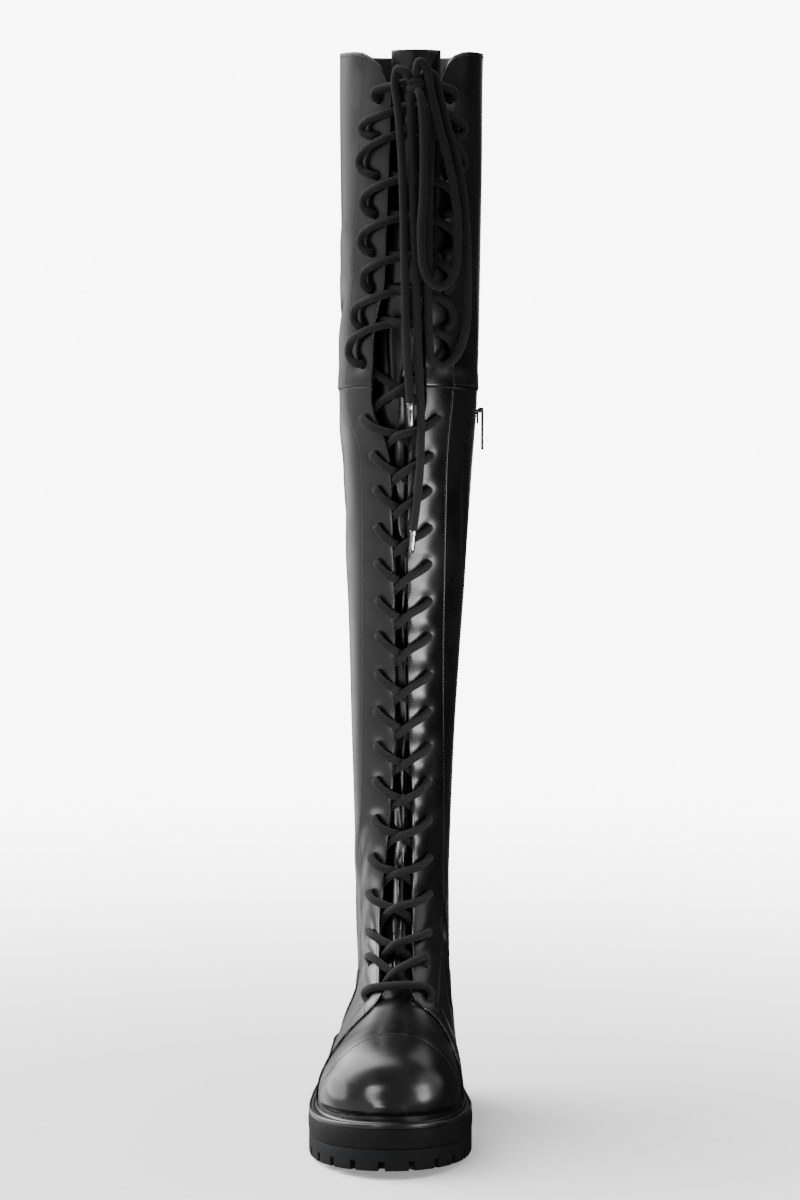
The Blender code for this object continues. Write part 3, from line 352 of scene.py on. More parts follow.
def mixed(data, i, f, k, g):
    """Bilinear mix of lattice values between rows i, i + 1 and steps k, k + 1."""
    f, g = f[..., None], g[..., None]
    low = data[i, k] * (1 - g) + data[i, k + 1] * g
    high = data[i + 1, k] * (1 - g) + data[i + 1, k + 1] * g
    return low * (1 - f) + high * f


def skin(side, row, share):
    """Points and outward normals of the outer face at rows and shares of the half section."""
    points, normals, _ = LATTICE[side]
    row, share = np.broadcast_arrays(np.asarray(row, float), np.asarray(share, float))
    row = np.clip(row, 0, TOP_ROW)
    i = np.clip(np.searchsorted(GRID_ROWS, row, side="right") - 1, 0, len(GRID_ROWS) - 2)
    f = (row - GRID_ROWS[i]) / (GRID_ROWS[i + 1] - GRID_ROWS[i])
    k = np.clip((share * GRID_STEPS).astype(int), 0, GRID_STEPS - 1)
    g = share * GRID_STEPS - k
    normal = mixed(normals, i, f, k, g)
    return mixed(points, i, f, k, g), normal / np.linalg.norm(normal, axis=-1, keepdims=True)


def length_at(side, row):
    return np.interp(row, GRID_ROWS, LATTICE[side][2])


def crossing_shares(side, x_at, first_row, first_step=0):
    """Share of each lattice row, from a first row on, at which a line's x crosses it."""
    found = np.ones(len(GRID_ROWS))
    for i in np.nonzero(GRID_ROWS >= first_row)[0]:
        out = (LATTICE[side][0][i, first_step:, 0] - x_at(GRID_ROWS[i])) * side
        last = int(np.max(np.nonzero(out > 0)))
        if last < len(out) - 1:
            found[i] = (first_step + last + out[last] / (out[last] - out[last + 1])) / GRID_STEPS
    return found


def throat_shares(side):
    """Share of each lattice row at which the throat's edge cuts it, 1 below the throat."""
    return crossing_shares(side, lambda row: throat_at[side](section_at["front_z"](row)), THROAT_ROW)


THROAT_SHARES = {side: throat_shares(side) for side in (INNER, OUTER)}


def edge_share(side, row):
    """Share of the section at the throat's edge."""
    return np.interp(row, GRID_ROWS, THROAT_SHARES[side])


def zip_shares():
    """Share of each lattice row that the zip's line passes through."""
    points, _, _ = LATTICE[INNER]
    found = np.full(len(GRID_ROWS), np.nan)
    for i, row in enumerate(GRID_ROWS):
        before = points[i, :, 1] - zip_y(points[i, :, 2])
        if row >= ZIP_ROWS[0] - 0.3 and before[0] > 0:
            first = int(np.argmax(before < 0))
            found[i] = (first - 1 + before[first - 1] / (before[first - 1] - before[first])) / GRID_STEPS
    known = ~np.isnan(found)
    return np.interp(GRID_ROWS, GRID_ROWS[known], found[known])


ZIP_SHARES = zip_shares()


def zip_share(row):
    return np.interp(row, GRID_ROWS, ZIP_SHARES)


WALK = walked_along(LATTICE[OUTER][0][:, GRID_STEPS // 2])


def walk_to(row):
    """Way along the middle of the leather's outer side from its first row to a row."""
    return np.interp(row, GRID_ROWS, WALK)


def rows_between(first, last, places):
    """Rows at places 0 to 1 between two rows, evenly spaced along the middle of the leather."""
    start, end = walk_to(first), walk_to(last)
    return np.interp(start + (end - start) * places, WALK, GRID_ROWS)


def moved_row(row, distance):
    """Row a distance further up the leather."""
    return np.interp(walk_to(row) + distance, WALK, GRID_ROWS)


# ---- the front of the leg by x and z ----
FRONT_X = np.arange(-62, 74, 1.0) * MM
FRONT_Z = np.arange(84, 752, 2.0) * MM


def front_map():
    """y of the outer face on the front of the leg over x and z, the throat bridged over."""
    rows = np.nonzero(GRID_ROWS >= THROAT_ROW - 0.5)[0]
    tail = GRID_STEPS // 3
    outer, inner = LATTICE[OUTER][0][rows, tail:], LATTICE[INNER][0][rows, tail:][:, ::-1]
    lines = np.concatenate([outer, inner[:, 1:]], axis=1)
    z = np.stack([np.interp(FRONT_X, line[:, 0], line[:, 2]) for line in lines])
    y = np.stack([np.interp(FRONT_X, line[:, 0], line[:, 1]) for line in lines])
    return np.stack([np.interp(FRONT_Z, z[:, k], y[:, k]) for k in range(len(FRONT_X))])


FRONT_Y = front_map()


def front_y(x, z):
    """y of the outer face on the front of the leg."""
    i = np.clip((np.asarray(x) - FRONT_X[0]) / MM, 0, len(FRONT_X) - 1.001)
    k = np.clip((np.asarray(z) - FRONT_Z[0]) / (2 * MM), 0, len(FRONT_Z) - 1.001)
    i0, k0 = i.astype(int), k.astype(int)
    return mixed(FRONT_Y[..., None], i0, i - i0, k0, k - k0)[..., 0]


def front_frame(x, z):
    """Points and outward normals of the front of the leg at x and z."""
    x, z = np.asarray(x, float), np.asarray(z, float)
    reach = 2 * MM
    slope_x = (front_y(x + reach, z) - front_y(x - reach, z)) / (2 * reach)
    slope_z = (front_y(x, z + reach) - front_y(x, z - reach)) / (2 * reach)
    normal = np.stack([slope_x, -np.ones_like(slope_x), slope_z], axis=-1)
    normal /= np.linalg.norm(normal, axis=-1, keepdims=True)
    return np.stack([x, front_y(x, z), z], axis=-1), normal


def before_front(x, z, height):
    """Points at a height in front of the leather, given x, z and the height in metres."""
    point, normal = front_frame(x, z)
    return point + normal * np.asarray(height)[..., None]


def throat_middle(z):
    return (throat_at[OUTER](z) + throat_at[INNER](z)) / 2


# ---- panel lines on the leather ----
# front edge of the quarters over the vamp and edge of the toe cap: row by share of the section
QUARTER_EDGE = dict(
    share=(0, .20, .33, .42, .50, .57, .625, .70, .77, .815, .868, .90, 1),
    outer=(6.1, 6.2, 6.35, 6.6, 6.95, 7.4, 7.6, 7.7, 7.78, 7.95, 8.25, 8.5, 9.3),
    inner=(6.2, 6.3, 6.6, 6.95, 7.3, 7.55, 7.75, 7.87, 7.95, 8.05, 8.25, 8.5, 9.3))
CAP_EDGE = dict(
    share=(0, .10, .29, .43, .55, .65, .76, .86, .95, 1),
    outer=(5.55, 5.4, 5.05, 4.85, 4.84, 4.93, 5.12, 5.32, 5.5, 5.55),
    inner=(5.25, 5.28, 5.34, 5.42, 5.47, 5.5, 5.53, 5.57, 5.57, 5.55))
# seam at the back of the facings: x by row
FACING_SEAM = dict(
    row=(7.5, 9.2, 10.9, 11.7, 14.8, 17, 19, 21.4, 23.2, 25.2, 25.9, 26.2, 26.45, 26.65, 26.95,
         27.7, 28.4, 29.5, 30.5, 31),
    outer=(-16.5, -17.2, -19.6, -21.6, -23.5, -23.7, -22.7, -21.3, -20.9, -21.0, -21.6, -23.6, -28.0,
           -30.6, -31.5, -30.6, -28.7, -23.2, -20.2, -19.2),
    inner=(31.5, 32.6, 33.6, 34.2, 34.7, 34.7, 34.9, 35.1, 35.6, 36.9, 37.6, 38.4, 39.6,
           40.8, 41.8, 41.7, 41.7, 42.6, 43.5, 44.2))
SEAM_GAP, EYELET_RADIUS = 0.25 * MM, 3.0 * MM
LEATHER_THICK, QUARTER_THICK = 1.5 * MM, 1.35 * MM
CAP_LIFT, FACING_LIFT, KNEE_LIFT = 0.7 * MM, 0.45 * MM, 0.7 * MM
STRAP_LIFT, COUNTER_LIFT, COUNTER_ROWS, ZIP_CLEAR = 0.5 * MM, 1.0 * MM, (11.6, 18.0), 5 * MM
QUARTER_LIFT, QUARTER_STEP, FOOT_RISE, FOOT_LIFT = 1.5 * MM, 15 * MM, 9 * MM, 0.35
LAP_FLAT, LAP_FADE = 5 * MM, 12 * MM
VAMP_UNDER, VAMP_SINK, VAMP_TOP_ROW, VAMP_TOP_SHARE = 10 * MM, 7 * MM, 8.2, 0.8
STRAP_HALF, STRAP_BOTTOM_ROW = 9 * MM, 15.2
LINING_DEPTH, LINING_THICK = 1.75 * MM, 0.7 * MM
KNEE_SEAM_ROW, KNEE_GAP_ROWS = 26.93, 0.01
PANEL_STEP, FACING_STEP = 2.3 * MM, 1.5 * MM



def side_curves(table, key, unit=1):
    """A table's outer and inner columns as curves over its key column."""
    return {side: through(table[key], np.array(table[SIDE_NAMES[side]]) * unit) for side in SIDE_NAMES}


quarter_edge, cap_edge = side_curves(QUARTER_EDGE, "share"), side_curves(CAP_EDGE, "share")
seam_x = side_curves(FACING_SEAM, "row", MM)


def seam_shares(side):
    """Share of each lattice row at which the facing's seam crosses it."""
    first_row = FACING_SEAM["row"][0] - 0.5
    found = crossing_shares(side, seam_x[side], first_row, GRID_STEPS // 3)
    first = int(np.argmax(GRID_ROWS >= first_row))
    found[:first] = found[first]
    return found


SEAM_SHARES = {side: seam_shares(side) for side in (INNER, OUTER)}


def seam_share(side, row):
    return np.interp(row, GRID_ROWS, SEAM_SHARES[side])


cut_shape = through(COLLAR_CUT["share"], COLLAR_CUT["drop"])
TOP_SPAN = section_at["front_z"](TOP_ROW) - section_at["front_z"](TOP_ROW - 1)


def collar_drop(side, distance):
    """How far the collar is cut down at a distance from the throat's edge."""
    return COLLAR_CUT_DROP[side] * cut_shape(distance / COLLAR_CUT_RUN[side])


def collar_row(side, distance):
    """Topmost row at a distance from the throat's edge, where the collar is cut away in a round."""
    return TOP_ROW - collar_drop(side, distance) / TOP_SPAN


def collar_rows(side, share_at, columns):
    """Topmost row of each column of a panel that ends at the collar."""
    top_shares = share_at(np.full(len(columns), float(TOP_ROW)), columns)
    return collar_row(side, (edge_share(side, TOP_ROW) - top_shares) * length_at(side, TOP_ROW))


# ---- relief of the leather ----
# creases: side, row and share of both ends, width and depth in mm; a negative depth is a ridge
CREASES = (
    (OUTER, 15.8, 0.62, 17.6, 0.86, 7.0, 1.0), (OUTER, 13.6, 0.60, 14.6, 0.84, 6.5, 1.2),
    (OUTER, 11.2, 0.62, 12.0, 0.84, 5.5, 1.0), (OUTER, 17.5, 0.58, 18.6, 0.80, 8.0, -0.8),
    (OUTER, 12.6, 0.55, 13.2, 0.80, 6.0, -0.8), (OUTER, 24.6, 0.35, 25.6, 0.62, 12.0, 1.2),
    (OUTER, 28.0, 0.40, 28.6, 0.70, 9.0, 1.3), (OUTER, 28.9, 0.50, 29.3, 0.72, 8.0, -0.7),
    (OUTER, 26.2, 0.40, 26.7, 0.66, 9.0, -0.8), (OUTER, 9.6, 0.50, 10.4, 0.74, 5.0, 0.8),
    (INNER, 10.2, 0.40, 13.6, 0.60, 4.0, 1.4), (INNER, 11.0, 0.52, 14.8, 0.66, 4.0, -1.2),
    (INNER, 12.2, 0.62, 15.2, 0.74, 4.5, 1.2), (INNER, 17.5, 0.56, 19.5, 0.66, 7.0, 1.0),
    (INNER, 9.4, 0.46, 11.2, 0.62, 4.0, 0.9), (INNER, 24.0, 0.62, 26.2, 0.70, 6.0, 0.9),
    (INNER, 27.6, 0.66, 28.9, 0.74, 7.0, 0.8), (INNER, 16.2, 0.55, 17.6, 0.78, 7.0, 1.0))
EYELET_HEIGHTS = np.array(EYELETS["z"][::-1]) * MM
EYELET_X = {side: np.array(EYELETS[SIDE_NAMES[side]][::-1]) * MM for side in SIDE_NAMES}
# how much the facing puffs out between its eyelets
PUFF_TABLE = dict(
    z=(90, 240, 420, 520, 740),
    outer=(.75, .55, .35, .30, .35),
    inner=(.55, 1.0, 1.0, .25, .25))
puff_at = curves(PUFF_TABLE, "z")
PUFF_REACH, DIMPLE_DEPTH, DIMPLE_WIDTH = 26 * MM, 0.8 * MM, 4.5 * MM
PUFF_START, PUFF_LEVEL, DIMPLE_RISE = 9 * MM, 0.35, 2 * MM
# slow waves of the worn leather, in mm: height, length, and length and size of their wander
WAVES_UP, WAVES_ROUND = (0.22, 31, 23, 1.7), (0.16, 14, 43, 2.1)
WAVES_ROW, WAVES_ROWS, WAVES_BACK, WAVES_THROAT = 5.5, 3, 0.06, (0.82, 0.14)
CREASE_SHOULDER, CREASE_TAPER = 0.35, 0.7
# how far the toe's front leans back at most, and the heights and the place along the foot where
# the lean starts and fades
LEAN, LEAN_FROM, LEAN_RISE = 2.4 * MM, 43 * MM, 16 * MM
LEAN_TO, LEAN_FADE, LEAN_Y = 62 * MM, 25 * MM, -98 * MM
CAP_STEP, CAP_STEP_FLAT, CAP_STEP_FADE = 0.6 * MM, 0.6 * MM, 2.2 * MM
FRONT_ROW, FRONT_BULGE, FRONT_COLUMNS = 0.95, 62 * MM, np.linspace(-1, 1, 9)


def crease_lines():
    """Side, points, width and depth of each crease."""
    places = np.linspace(0, 1, 9)
    lines = []
    for side, row_a, share_a, row_b, share_b, width, depth in CREASES:
        line = skin(side, row_a + (row_b - row_a) * places, share_a + (share_b - share_a) * places)[0]
        lines.append((side, line, width * MM, depth * MM))
    return lines


CREASE_LINES = crease_lines()


def distance_along(points, line):
    """Distance of points from a polyline, and the share of its length that they lie beside."""
    nearest, beside = np.full(points.shape[:-1], 1e9), np.zeros(points.shape[:-1])
    for k in range(len(line) - 1):
        run = line[k + 1] - line[k]
        share = np.clip(((points - line[k]) @ run) / (run @ run), 0, 1)
        away = np.linalg.norm(points - line[k] - share[..., None] * run, axis=-1)
        closer = away < nearest
        nearest = np.where(closer, away, nearest)
        beside = np.where(closer, (k + share) / (len(line) - 1), beside)
    return nearest, beside


def waves(table, ahead, across, phase):
    tall, length, wander, swing = table
    return tall * MM * np.sin(ahead / (length * MM) + swing * np.sin(across / (wander * MM)) + phase)


def relief(side, row, share, points):
    """How far the worn leather stands out from the plain form."""
    x, z = points[..., 0], points[..., 2]
    girth = share * length_at(side, row)
    height = waves(WAVES_UP, z, girth, side) + waves(WAVES_ROUND, girth, z, -side)
    height *= eased((row - WAVES_ROW) / WAVES_ROWS) * eased(share / WAVES_BACK)
    height *= 1 - eased((share - WAVES_THROAT[0]) / WAVES_THROAT[1])
    for at_side, line, width, depth in CREASE_LINES:
        if at_side != side:
            continue
        away, beside = distance_along(points, line)
        taper = np.sin(math.pi * np.clip(beside, 0.02, 0.98)) ** CREASE_TAPER
        height -= depth * taper * (bell(away, width) - CREASE_SHOULDER * bell(away - 2 * width, width))
    front = (row > THROAT_ROW) & (share > 0.5)
    place = np.interp(z, EYELET_HEIGHTS, np.arange(ROW_COUNT))
    from_edge = (edge_share(side, row) - share) * length_at(side, row)
    across = eased(from_edge / (3 * MM) + 0.3)
    across *= 1 - eased((from_edge - PUFF_START) / (PUFF_REACH - PUFF_START))
    puff = puff_at[SIDE_NAMES[side]](z) * across * (np.sin(math.pi * place) ** 2 - PUFF_LEVEL)
    nearest = np.clip(np.round(place).astype(int), 0, ROW_COUNT - 1)
    away = np.hypot(x - EYELET_X[side][nearest], z - EYELET_HEIGHTS[nearest] - DIMPLE_RISE)
    return height + np.where(front, puff - DIMPLE_DEPTH * bell(away, DIMPLE_WIDTH), 0)


def worn(side, rows, shares, lift):
    """Points of a panel's worn face and its plain form's normals; the toe's front leans back."""
    base, normal = skin(side, rows, shares)
    height = lift(side, rows, shares, base) + relief(side, rows, shares, base)
    placed = base + normal * height[..., None]
    y, z = placed[..., 1], placed[..., 2]
    leaning = eased((z - LEAN_FROM) / LEAN_RISE) * (1 - eased((z - LEAN_TO) / LEAN_FADE))
    placed[..., 1] += LEAN * leaning * eased((LEAN_Y - y) / LEAN_FADE)
    return placed, normal


# ---- mesh helpers ----
def grid_faces(rows, columns, turned=False, skip=None):
    """Quads of a grid of points, without the cells that skip marks."""
    r, c = np.meshgrid(np.arange(rows - 1), np.arange(columns - 1), indexing="ij")
    keep = np.ones(r.shape, bool) if skip is None else ~skip
    first = r[keep] * columns + c[keep]
    quads = np.stack([first, first + 1, first + columns + 1, first + columns], 1)
    return quads[:, ::-1] if turned else quads


def ring_faces(rings, sides, ends=True, closed=False):
    """Quads between rings of points, and a face over each end or on from the last ring to the first."""
    faces = []
    for ring in range(rings if closed else rings - 1):
        low, high = ring * sides, (ring + 1) % rings * sides
        faces += [(low + c, low + (c + 1) % sides, high + (c + 1) % sides, high + c) for c in range(sides)]
    if ends:
        faces += [tuple(range(sides))[::-1], tuple((rings - 1) * sides + c for c in range(sides))]
    return faces


def linked(name, data):
    """New object of a data block, in the scene."""
    made = bpy.data.objects.new(name, data)
    bpy.context.scene.collection.objects.link(made)
    return made


def from_work(name, work):
    """New mesh object from a bmesh, which it frees."""
    data = bpy.data.meshes.new(name)
    work.to_mesh(data)
    work.free()
    return linked(name, data)


def mesh_of(name, points, faces, merge=0.02 * MM):
    """Mesh object from points and faces, with coincident points joined."""
    data = bpy.data.meshes.new(name)
    data.from_pydata(np.asarray(points, float).tolist(), [], [list(map(int, face)) for face in faces])
    work = bmesh.new()
    work.from_mesh(data)
    bmesh.ops.remove_doubles(work, verts=work.verts, dist=merge)
    bmesh.ops.dissolve_degenerate(work, edges=work.edges, dist=merge / 2)
    work.to_mesh(data)
    work.free()
    return linked(name, data)


def smoothed(data, sharp):
    """Shades a mesh smooth up to a sharp angle in degrees."""
    data.shade_smooth()
    data.set_sharp_from_angle(angle=math.radians(sharp))


def baked(piece, sharp=None):
    """Turns a piece's modifiers into its own mesh, shaded smooth up to a sharp angle."""
    graph = bpy.context.evaluated_depsgraph_get()
    data = bpy.data.meshes.new_from_object(piece.evaluated_get(graph))
    piece.modifiers.clear()
    piece.data = data
    if sharp is not None:
        smoothed(data, sharp)
    return piece


def bevelled(piece, width, segments, angle):
    """Adds a round to the edges that are sharper than an angle in degrees."""
    edge = piece.modifiers.new("edge", "BEVEL")
    edge.width, edge.segments, edge.limit_method = width, segments, "ANGLE"
    edge.angle_limit = math.radians(angle)


def cut_away(piece, tool, sharp=None, crossing=False):
    """Cuts a tool's shape, whose parts may cross each other, out of a piece."""
    hole = piece.modifiers.new("cut", "BOOLEAN")
    hole.operation, hole.solver, hole.object, hole.use_self = "DIFFERENCE", "EXACT", tool, crossing
    baked(piece, sharp)
    bpy.data.objects.remove(tool, do_unlink=True)


def walled(piece, thickness, rim):
    """Gives a sheet its thickness inwards and rounds its cut edges."""
    wall = piece.modifiers.new("wall", "SOLIDIFY")
    wall.thickness, wall.offset, wall.use_even_offset = thickness, -1.0, False
    if rim:
        bevelled(piece, rim, 2, 60)
    return baked(piece, sharp=50)


def dressed(piece, material, body="boot", stands_for=()):
    """Gives a finished piece its material and the body that carries it."""
    piece.data.materials.clear()
    piece.data.materials.append(material)
    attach(piece, body)
    if stands_for:
        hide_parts(*stands_for)
    return piece


# ---- leather panels ----
def counted(length, step):
    return max(2, int(round(length / step)) + 1)


def solved_rows(edge, share_at, columns, first):
    """Row at which each column of a panel meets an edge given as a row by share."""
    rows = np.full(len(columns), first)
    for _ in range(30):
        rows = 0.5 * rows + 0.5 * edge(share_at(rows, columns))
    return rows


def panel_grid(start, end, share_at, columns, step=None, count=None):
    """Rows and shares of a panel between its start and end rows, column by column."""
    places = np.linspace(0, 1, count or counted(walk_to(np.max(end)) - walk_to(np.min(start)), step))
    ends = zip(start + 0 * columns, end + 0 * columns)
    rows = np.stack([rows_between(low, high, places) for low, high in ends], axis=1)
    return rows, share_at(rows, columns[None, :] + 0 * rows)


def leather(name, grids, lift, thickness, rim=0.3 * MM, skip=None, joined=False, toe_closed=False):
    """Panel from grids of rows and shares, one for each side that it covers."""
    sheets = [worn(side, rows, shares, lift)[0] for side, rows, shares in grids]
    if joined:
        middle = (sheets[0][:, -1] + sheets[1][:, -1]) / 2
        sheets[0][:, -1] = sheets[1][:, -1] = middle
    points, faces, count = [], [], 0
    for (side, rows, shares), sheet in zip(grids, sheets):
        cut = None if skip is None else skip(side, rows, shares)
        faces.append(grid_faces(*rows.shape, turned=side == INNER, skip=cut) + count)
        points.append(sheet.reshape(-1, 3))
        count += rows.size
    if toe_closed:
        inner, outer = sheets[0][0], sheets[1][0]
        half = (inner[:, 0] - outer[:, 0]) / 2
        for across in FRONT_COLUMNS:
            column = inner + (outer - inner) * (1 + across) / 2
            column[:, 1] -= (1 - across ** 2) * half ** 2 / FRONT_BULGE
            points.append(column)
        faces.append(grid_faces(len(FRONT_COLUMNS), len(inner)) + count)
    return walled(mesh_of(name, np.concatenate(points), np.concatenate(faces)), thickness, rim)


def flat_lift(amount):
    return lambda side, row, share, points: np.full(row.shape, amount)


def quarter_share(side, row, column):
    return column * seam_share(side, row) - column * SEAM_GAP / length_at(side, row)


def facing_share(side, row, column):
    seam = seam_share(side, row) + SEAM_GAP / length_at(side, row)
    return seam + (edge_share(side, row) - seam) * column


def quarter_height(extra):
    """Lift of the quarters and facings: proud of the vamp along their front edge."""
    def lift(side, row, share, points):
        behind = walk_to(row) - walk_to(quarter_edge[side](share))
        step = 1 - eased((behind - QUARTER_STEP) / QUARTER_STEP)
        foot = eased((points[..., 2] - welt_top(points[..., 1])) / FOOT_RISE)
        return extra + (QUARTER_LIFT * (FOOT_LIFT + (1 - FOOT_LIFT) * foot) - extra) * step
    return lift


def vamp_depth(side, row, share, points):
    """Lift of the vamp: below the quarters at the throat, and a step down from the toe cap."""
    behind = walk_to(row) - walk_to(cap_edge[side](share))
    sunk = VAMP_SINK * eased((row - 7.8) / 1.6) * eased((share - 0.78) / 0.12)
    return -sunk - CAP_STEP * (1 - eased((behind - CAP_STEP_FLAT) / CAP_STEP_FADE))


def build_vamp(finish):
    """Toe cap, and the vamp from there to under the quarters' front edge."""
    columns = np.linspace(0, 1, 60)
    as_it_is = lambda row, column: column
    cap, vamp = [], []
    for side in (INNER, OUTER):
        edge, under = cap_edge[side](columns), quarter_edge[side](columns)
        at_throat = VAMP_TOP_ROW + eased((columns - VAMP_TOP_SHARE) / (1 - VAMP_TOP_SHARE))
        under = np.where(columns > VAMP_TOP_SHARE, np.minimum(under, at_throat), under)
        cap.append((side, *panel_grid(FRONT_ROW, edge, as_it_is, columns, count=52)))
        top = moved_row(under, VAMP_UNDER)
        vamp.append((side, *panel_grid(edge + 0.015, top, as_it_is, columns, count=40)))
    made = leather("toe_cap", cap, flat_lift(CAP_LIFT), LEATHER_THICK + CAP_LIFT, joined=True,
                   toe_closed=True)
    dressed(made, finish["leather"])
    made = leather("vamp", vamp, vamp_depth, LEATHER_THICK, joined=True)
    dressed(made, finish["leather"])


def in_zip(side, rows, shares):
    """Cells of a panel that the zip's slot takes out."""
    if side != INNER:
        return np.zeros((rows.shape[0] - 1, rows.shape[1] - 1), bool)
    row = (rows[:-1, :-1] + rows[1:, 1:]) / 2
    share = (shares[:-1, :-1] + shares[1:, 1:]) / 2
    away = np.abs(share - zip_share(row)) * length_at(INNER, row)
    return (away < ZIP_SLOT / 2) & (row > ZIP_ROWS[0]) & (row < ZIP_ROWS[1])


def zip_aligned(rows, shares, columns):
    """Shares of a panel's columns shifted so that two of them follow the edges of the zip's slot."""
    middle, half = zip_share(rows), ZIP_SLOT / 2 / length_at(INNER, rows)
    behind = int(round(len(columns) * 0.5))
    lead = np.linspace(0, 1, behind) * (middle - half)[:, :behind]
    ahead = np.linspace(0, 1, len(columns) - behind)
    trail = (middle + half)[:, behind:] * (1 - ahead) + shares[:, behind:] / columns[behind:] * ahead
    fitted = np.concatenate([lead, trail], axis=1)
    blend = eased((rows - ZIP_ROWS[0] + 2.5) / 2.5)
    return shares * (1 - blend) + fitted * blend


def knee_lap(extra):
    """Lift of the thigh's pieces, proud of the shaft at the knee seam."""
    def lift(side, row, share, points):
        above = walk_to(row) - walk_to(KNEE_SEAM_ROW)
        return extra + KNEE_LIFT * (1 - eased((above - LAP_FLAT) / LAP_FADE))
    return lift


def below_knee(side, share_at, columns, first, step):
    """Grid of a panel from the quarters' front edge up to the knee seam."""
    start = solved_rows(quarter_edge[side], share_at, columns, first)
    return panel_grid(start, KNEE_SEAM_ROW, share_at, columns, step)


def above_knee(side, share_at, columns, step):
    """Grid of a panel from the knee seam up to the collar."""
    top = collar_rows(side, share_at, columns)
    return panel_grid(KNEE_SEAM_ROW + KNEE_GAP_ROWS, top, share_at, columns, step)


def build_quarters(finish):
    """Quarters of the foot and shaft, one on each side, the inner one slotted for the zip."""
    columns = np.linspace(0, 1, 84)
    for side, name in SIDE_NAMES.items():
        rows, shares = below_knee(side, partial(quarter_share, side), columns, 7.0, PANEL_STEP)
        if side == INNER:
            shares = zip_aligned(rows, shares, columns)
        made = leather("quarter_" + name, [(side, rows, shares)], quarter_height(0.0), QUARTER_THICK,
                       skip=in_zip)
        dressed(made, finish["leather"], stands_for=["upper"])


def build_thigh(finish):
    """Thigh's side pieces, from the knee seam up to the collar."""
    columns = np.linspace(0, 1, 76)
    for side, name in SIDE_NAMES.items():
        grid = above_knee(side, partial(quarter_share, side), columns, PANEL_STEP)
        made = leather("thigh_" + name, [(side, *grid)], knee_lap(0.0), QUARTER_THICK)
        dressed(made, finish["leather"], stands_for=["thigh_shaft"])


def eyelet(side, row):
    """x and z of an eyelet, in mm."""
    return EYELETS[SIDE_NAMES[side]][row], EYELETS["z"][row]


def pierced(piece, side, rows):
    """Cuts the holes of some rows of eyelets through a facing."""
    work = bmesh.new()
    for row in rows:
        x, z = eyelet(side, row)
        point, normal = front_frame(x * MM, z * MM)
        turn = Vector(normal).to_track_quat("Z", "Y").to_matrix().to_4x4()
        bmesh.ops.create_cone(work, cap_ends=True, segments=18, radius1=EYELET_RADIUS, radius2=EYELET_RADIUS,
                              depth=14 * MM, matrix=Matrix.Translation(Vector(point)) @ turn)
    cut_away(piece, from_work("eyelet_pegs", work), sharp=50)
    return piece


def build_facings(finish):
    """Facings that carry the eyelets, below the knee seam and above it."""
    columns, thickness = np.linspace(0, 1, 26), LEATHER_THICK + FACING_LIFT
    for side, name in SIDE_NAMES.items():
        share_at = partial(facing_share, side)
        for title, grid, lift, rows in (
                ("facing_", below_knee(side, share_at, columns, 8.0, FACING_STEP),
                 quarter_height(FACING_LIFT), range(ROWS_ABOVE_KNEE, ROW_COUNT)),
                ("thigh_facing_", above_knee(side, share_at, columns, FACING_STEP),
                 knee_lap(FACING_LIFT), range(ROWS_ABOVE_KNEE))):
            made = pierced(leather(title + name, [(side, *grid)], lift, thickness), side, rows)
            dressed(made, finish["leather"])


def build_lining(finish):
    """Lining of the foot, shaft and thigh, one sheet open at the throat, the foot and the zip."""
    columns = np.linspace(0, 1, 40)
    grids = []
    for side in (INNER, OUTER):
        short_of_edge = edge_share(side, GRID_ROWS) - 1.2 * MM / length_at(side, GRID_ROWS)
        reach = np.where(GRID_ROWS < THROAT_ROW, 1.0, short_of_edge)
        share_at = lambda row, column: column * np.interp(row, GRID_ROWS, reach)
        top = collar_rows(side, share_at, columns) - 0.02
        rows, shares = panel_grid(0.6, top, share_at, columns, 5 * MM)
        if side == INNER:
            shares = zip_aligned(rows, shares, columns)
        grids.append((side, rows, shares))
    made = leather("lining", grids, flat_lift(-LINING_DEPTH), LINING_THICK, rim=None, skip=in_zip)
    dressed(made, finish["lining"])


# front and top edge of the heel counter: share of the section by row
counter_reach = through((11.6, 12.4, 13.4, 14.4, 15.2, 16, 17, 18), (.30, .37, .38, .35, .29, .22, .13, .03))


def counter_edge(side, rows):
    """Share at the counter's front edge, which stays clear of the zip on the inner side."""
    if side == OUTER:
        return counter_reach(rows)
    clear = (ZIP_SLOT / 2 + ZIP_CLEAR) / length_at(INNER, rows)
    return np.minimum(counter_reach(rows), zip_share(rows) - clear)


def build_back(finish):
    """Back strap over the two quarters' seam, and the heel counter round the heel."""
    across = np.linspace(0, 1, 8)
    strap_share = lambda side, row, column: column * STRAP_HALF / length_at(side, row)
    for name, first, last, lift in (
            ("back_strap_lower", STRAP_BOTTOM_ROW, KNEE_SEAM_ROW, flat_lift(STRAP_LIFT)),
            ("back_strap_upper", KNEE_SEAM_ROW + KNEE_GAP_ROWS, TOP_ROW, knee_lap(STRAP_LIFT))):
        grids = [(side, *panel_grid(first, last, partial(strap_share, side), across, 3 * MM))
                 for side in (INNER, OUTER)]
        dressed(leather(name, grids, lift, 0.45 * MM, rim=0.15 * MM), finish["leather"])
    rows = rows_between(*COUNTER_ROWS, np.linspace(0, 1, 40))[:, None]
    grids = []
    for side in (INNER, OUTER):
        shares = counter_edge(side, rows) * np.linspace(0, 1, 30)[None]
        grids.append((side, rows + 0 * shares, shares))
    dressed(leather("heel_counter", grids, flat_lift(COUNTER_LIFT), 0.9 * MM), finish["leather"])


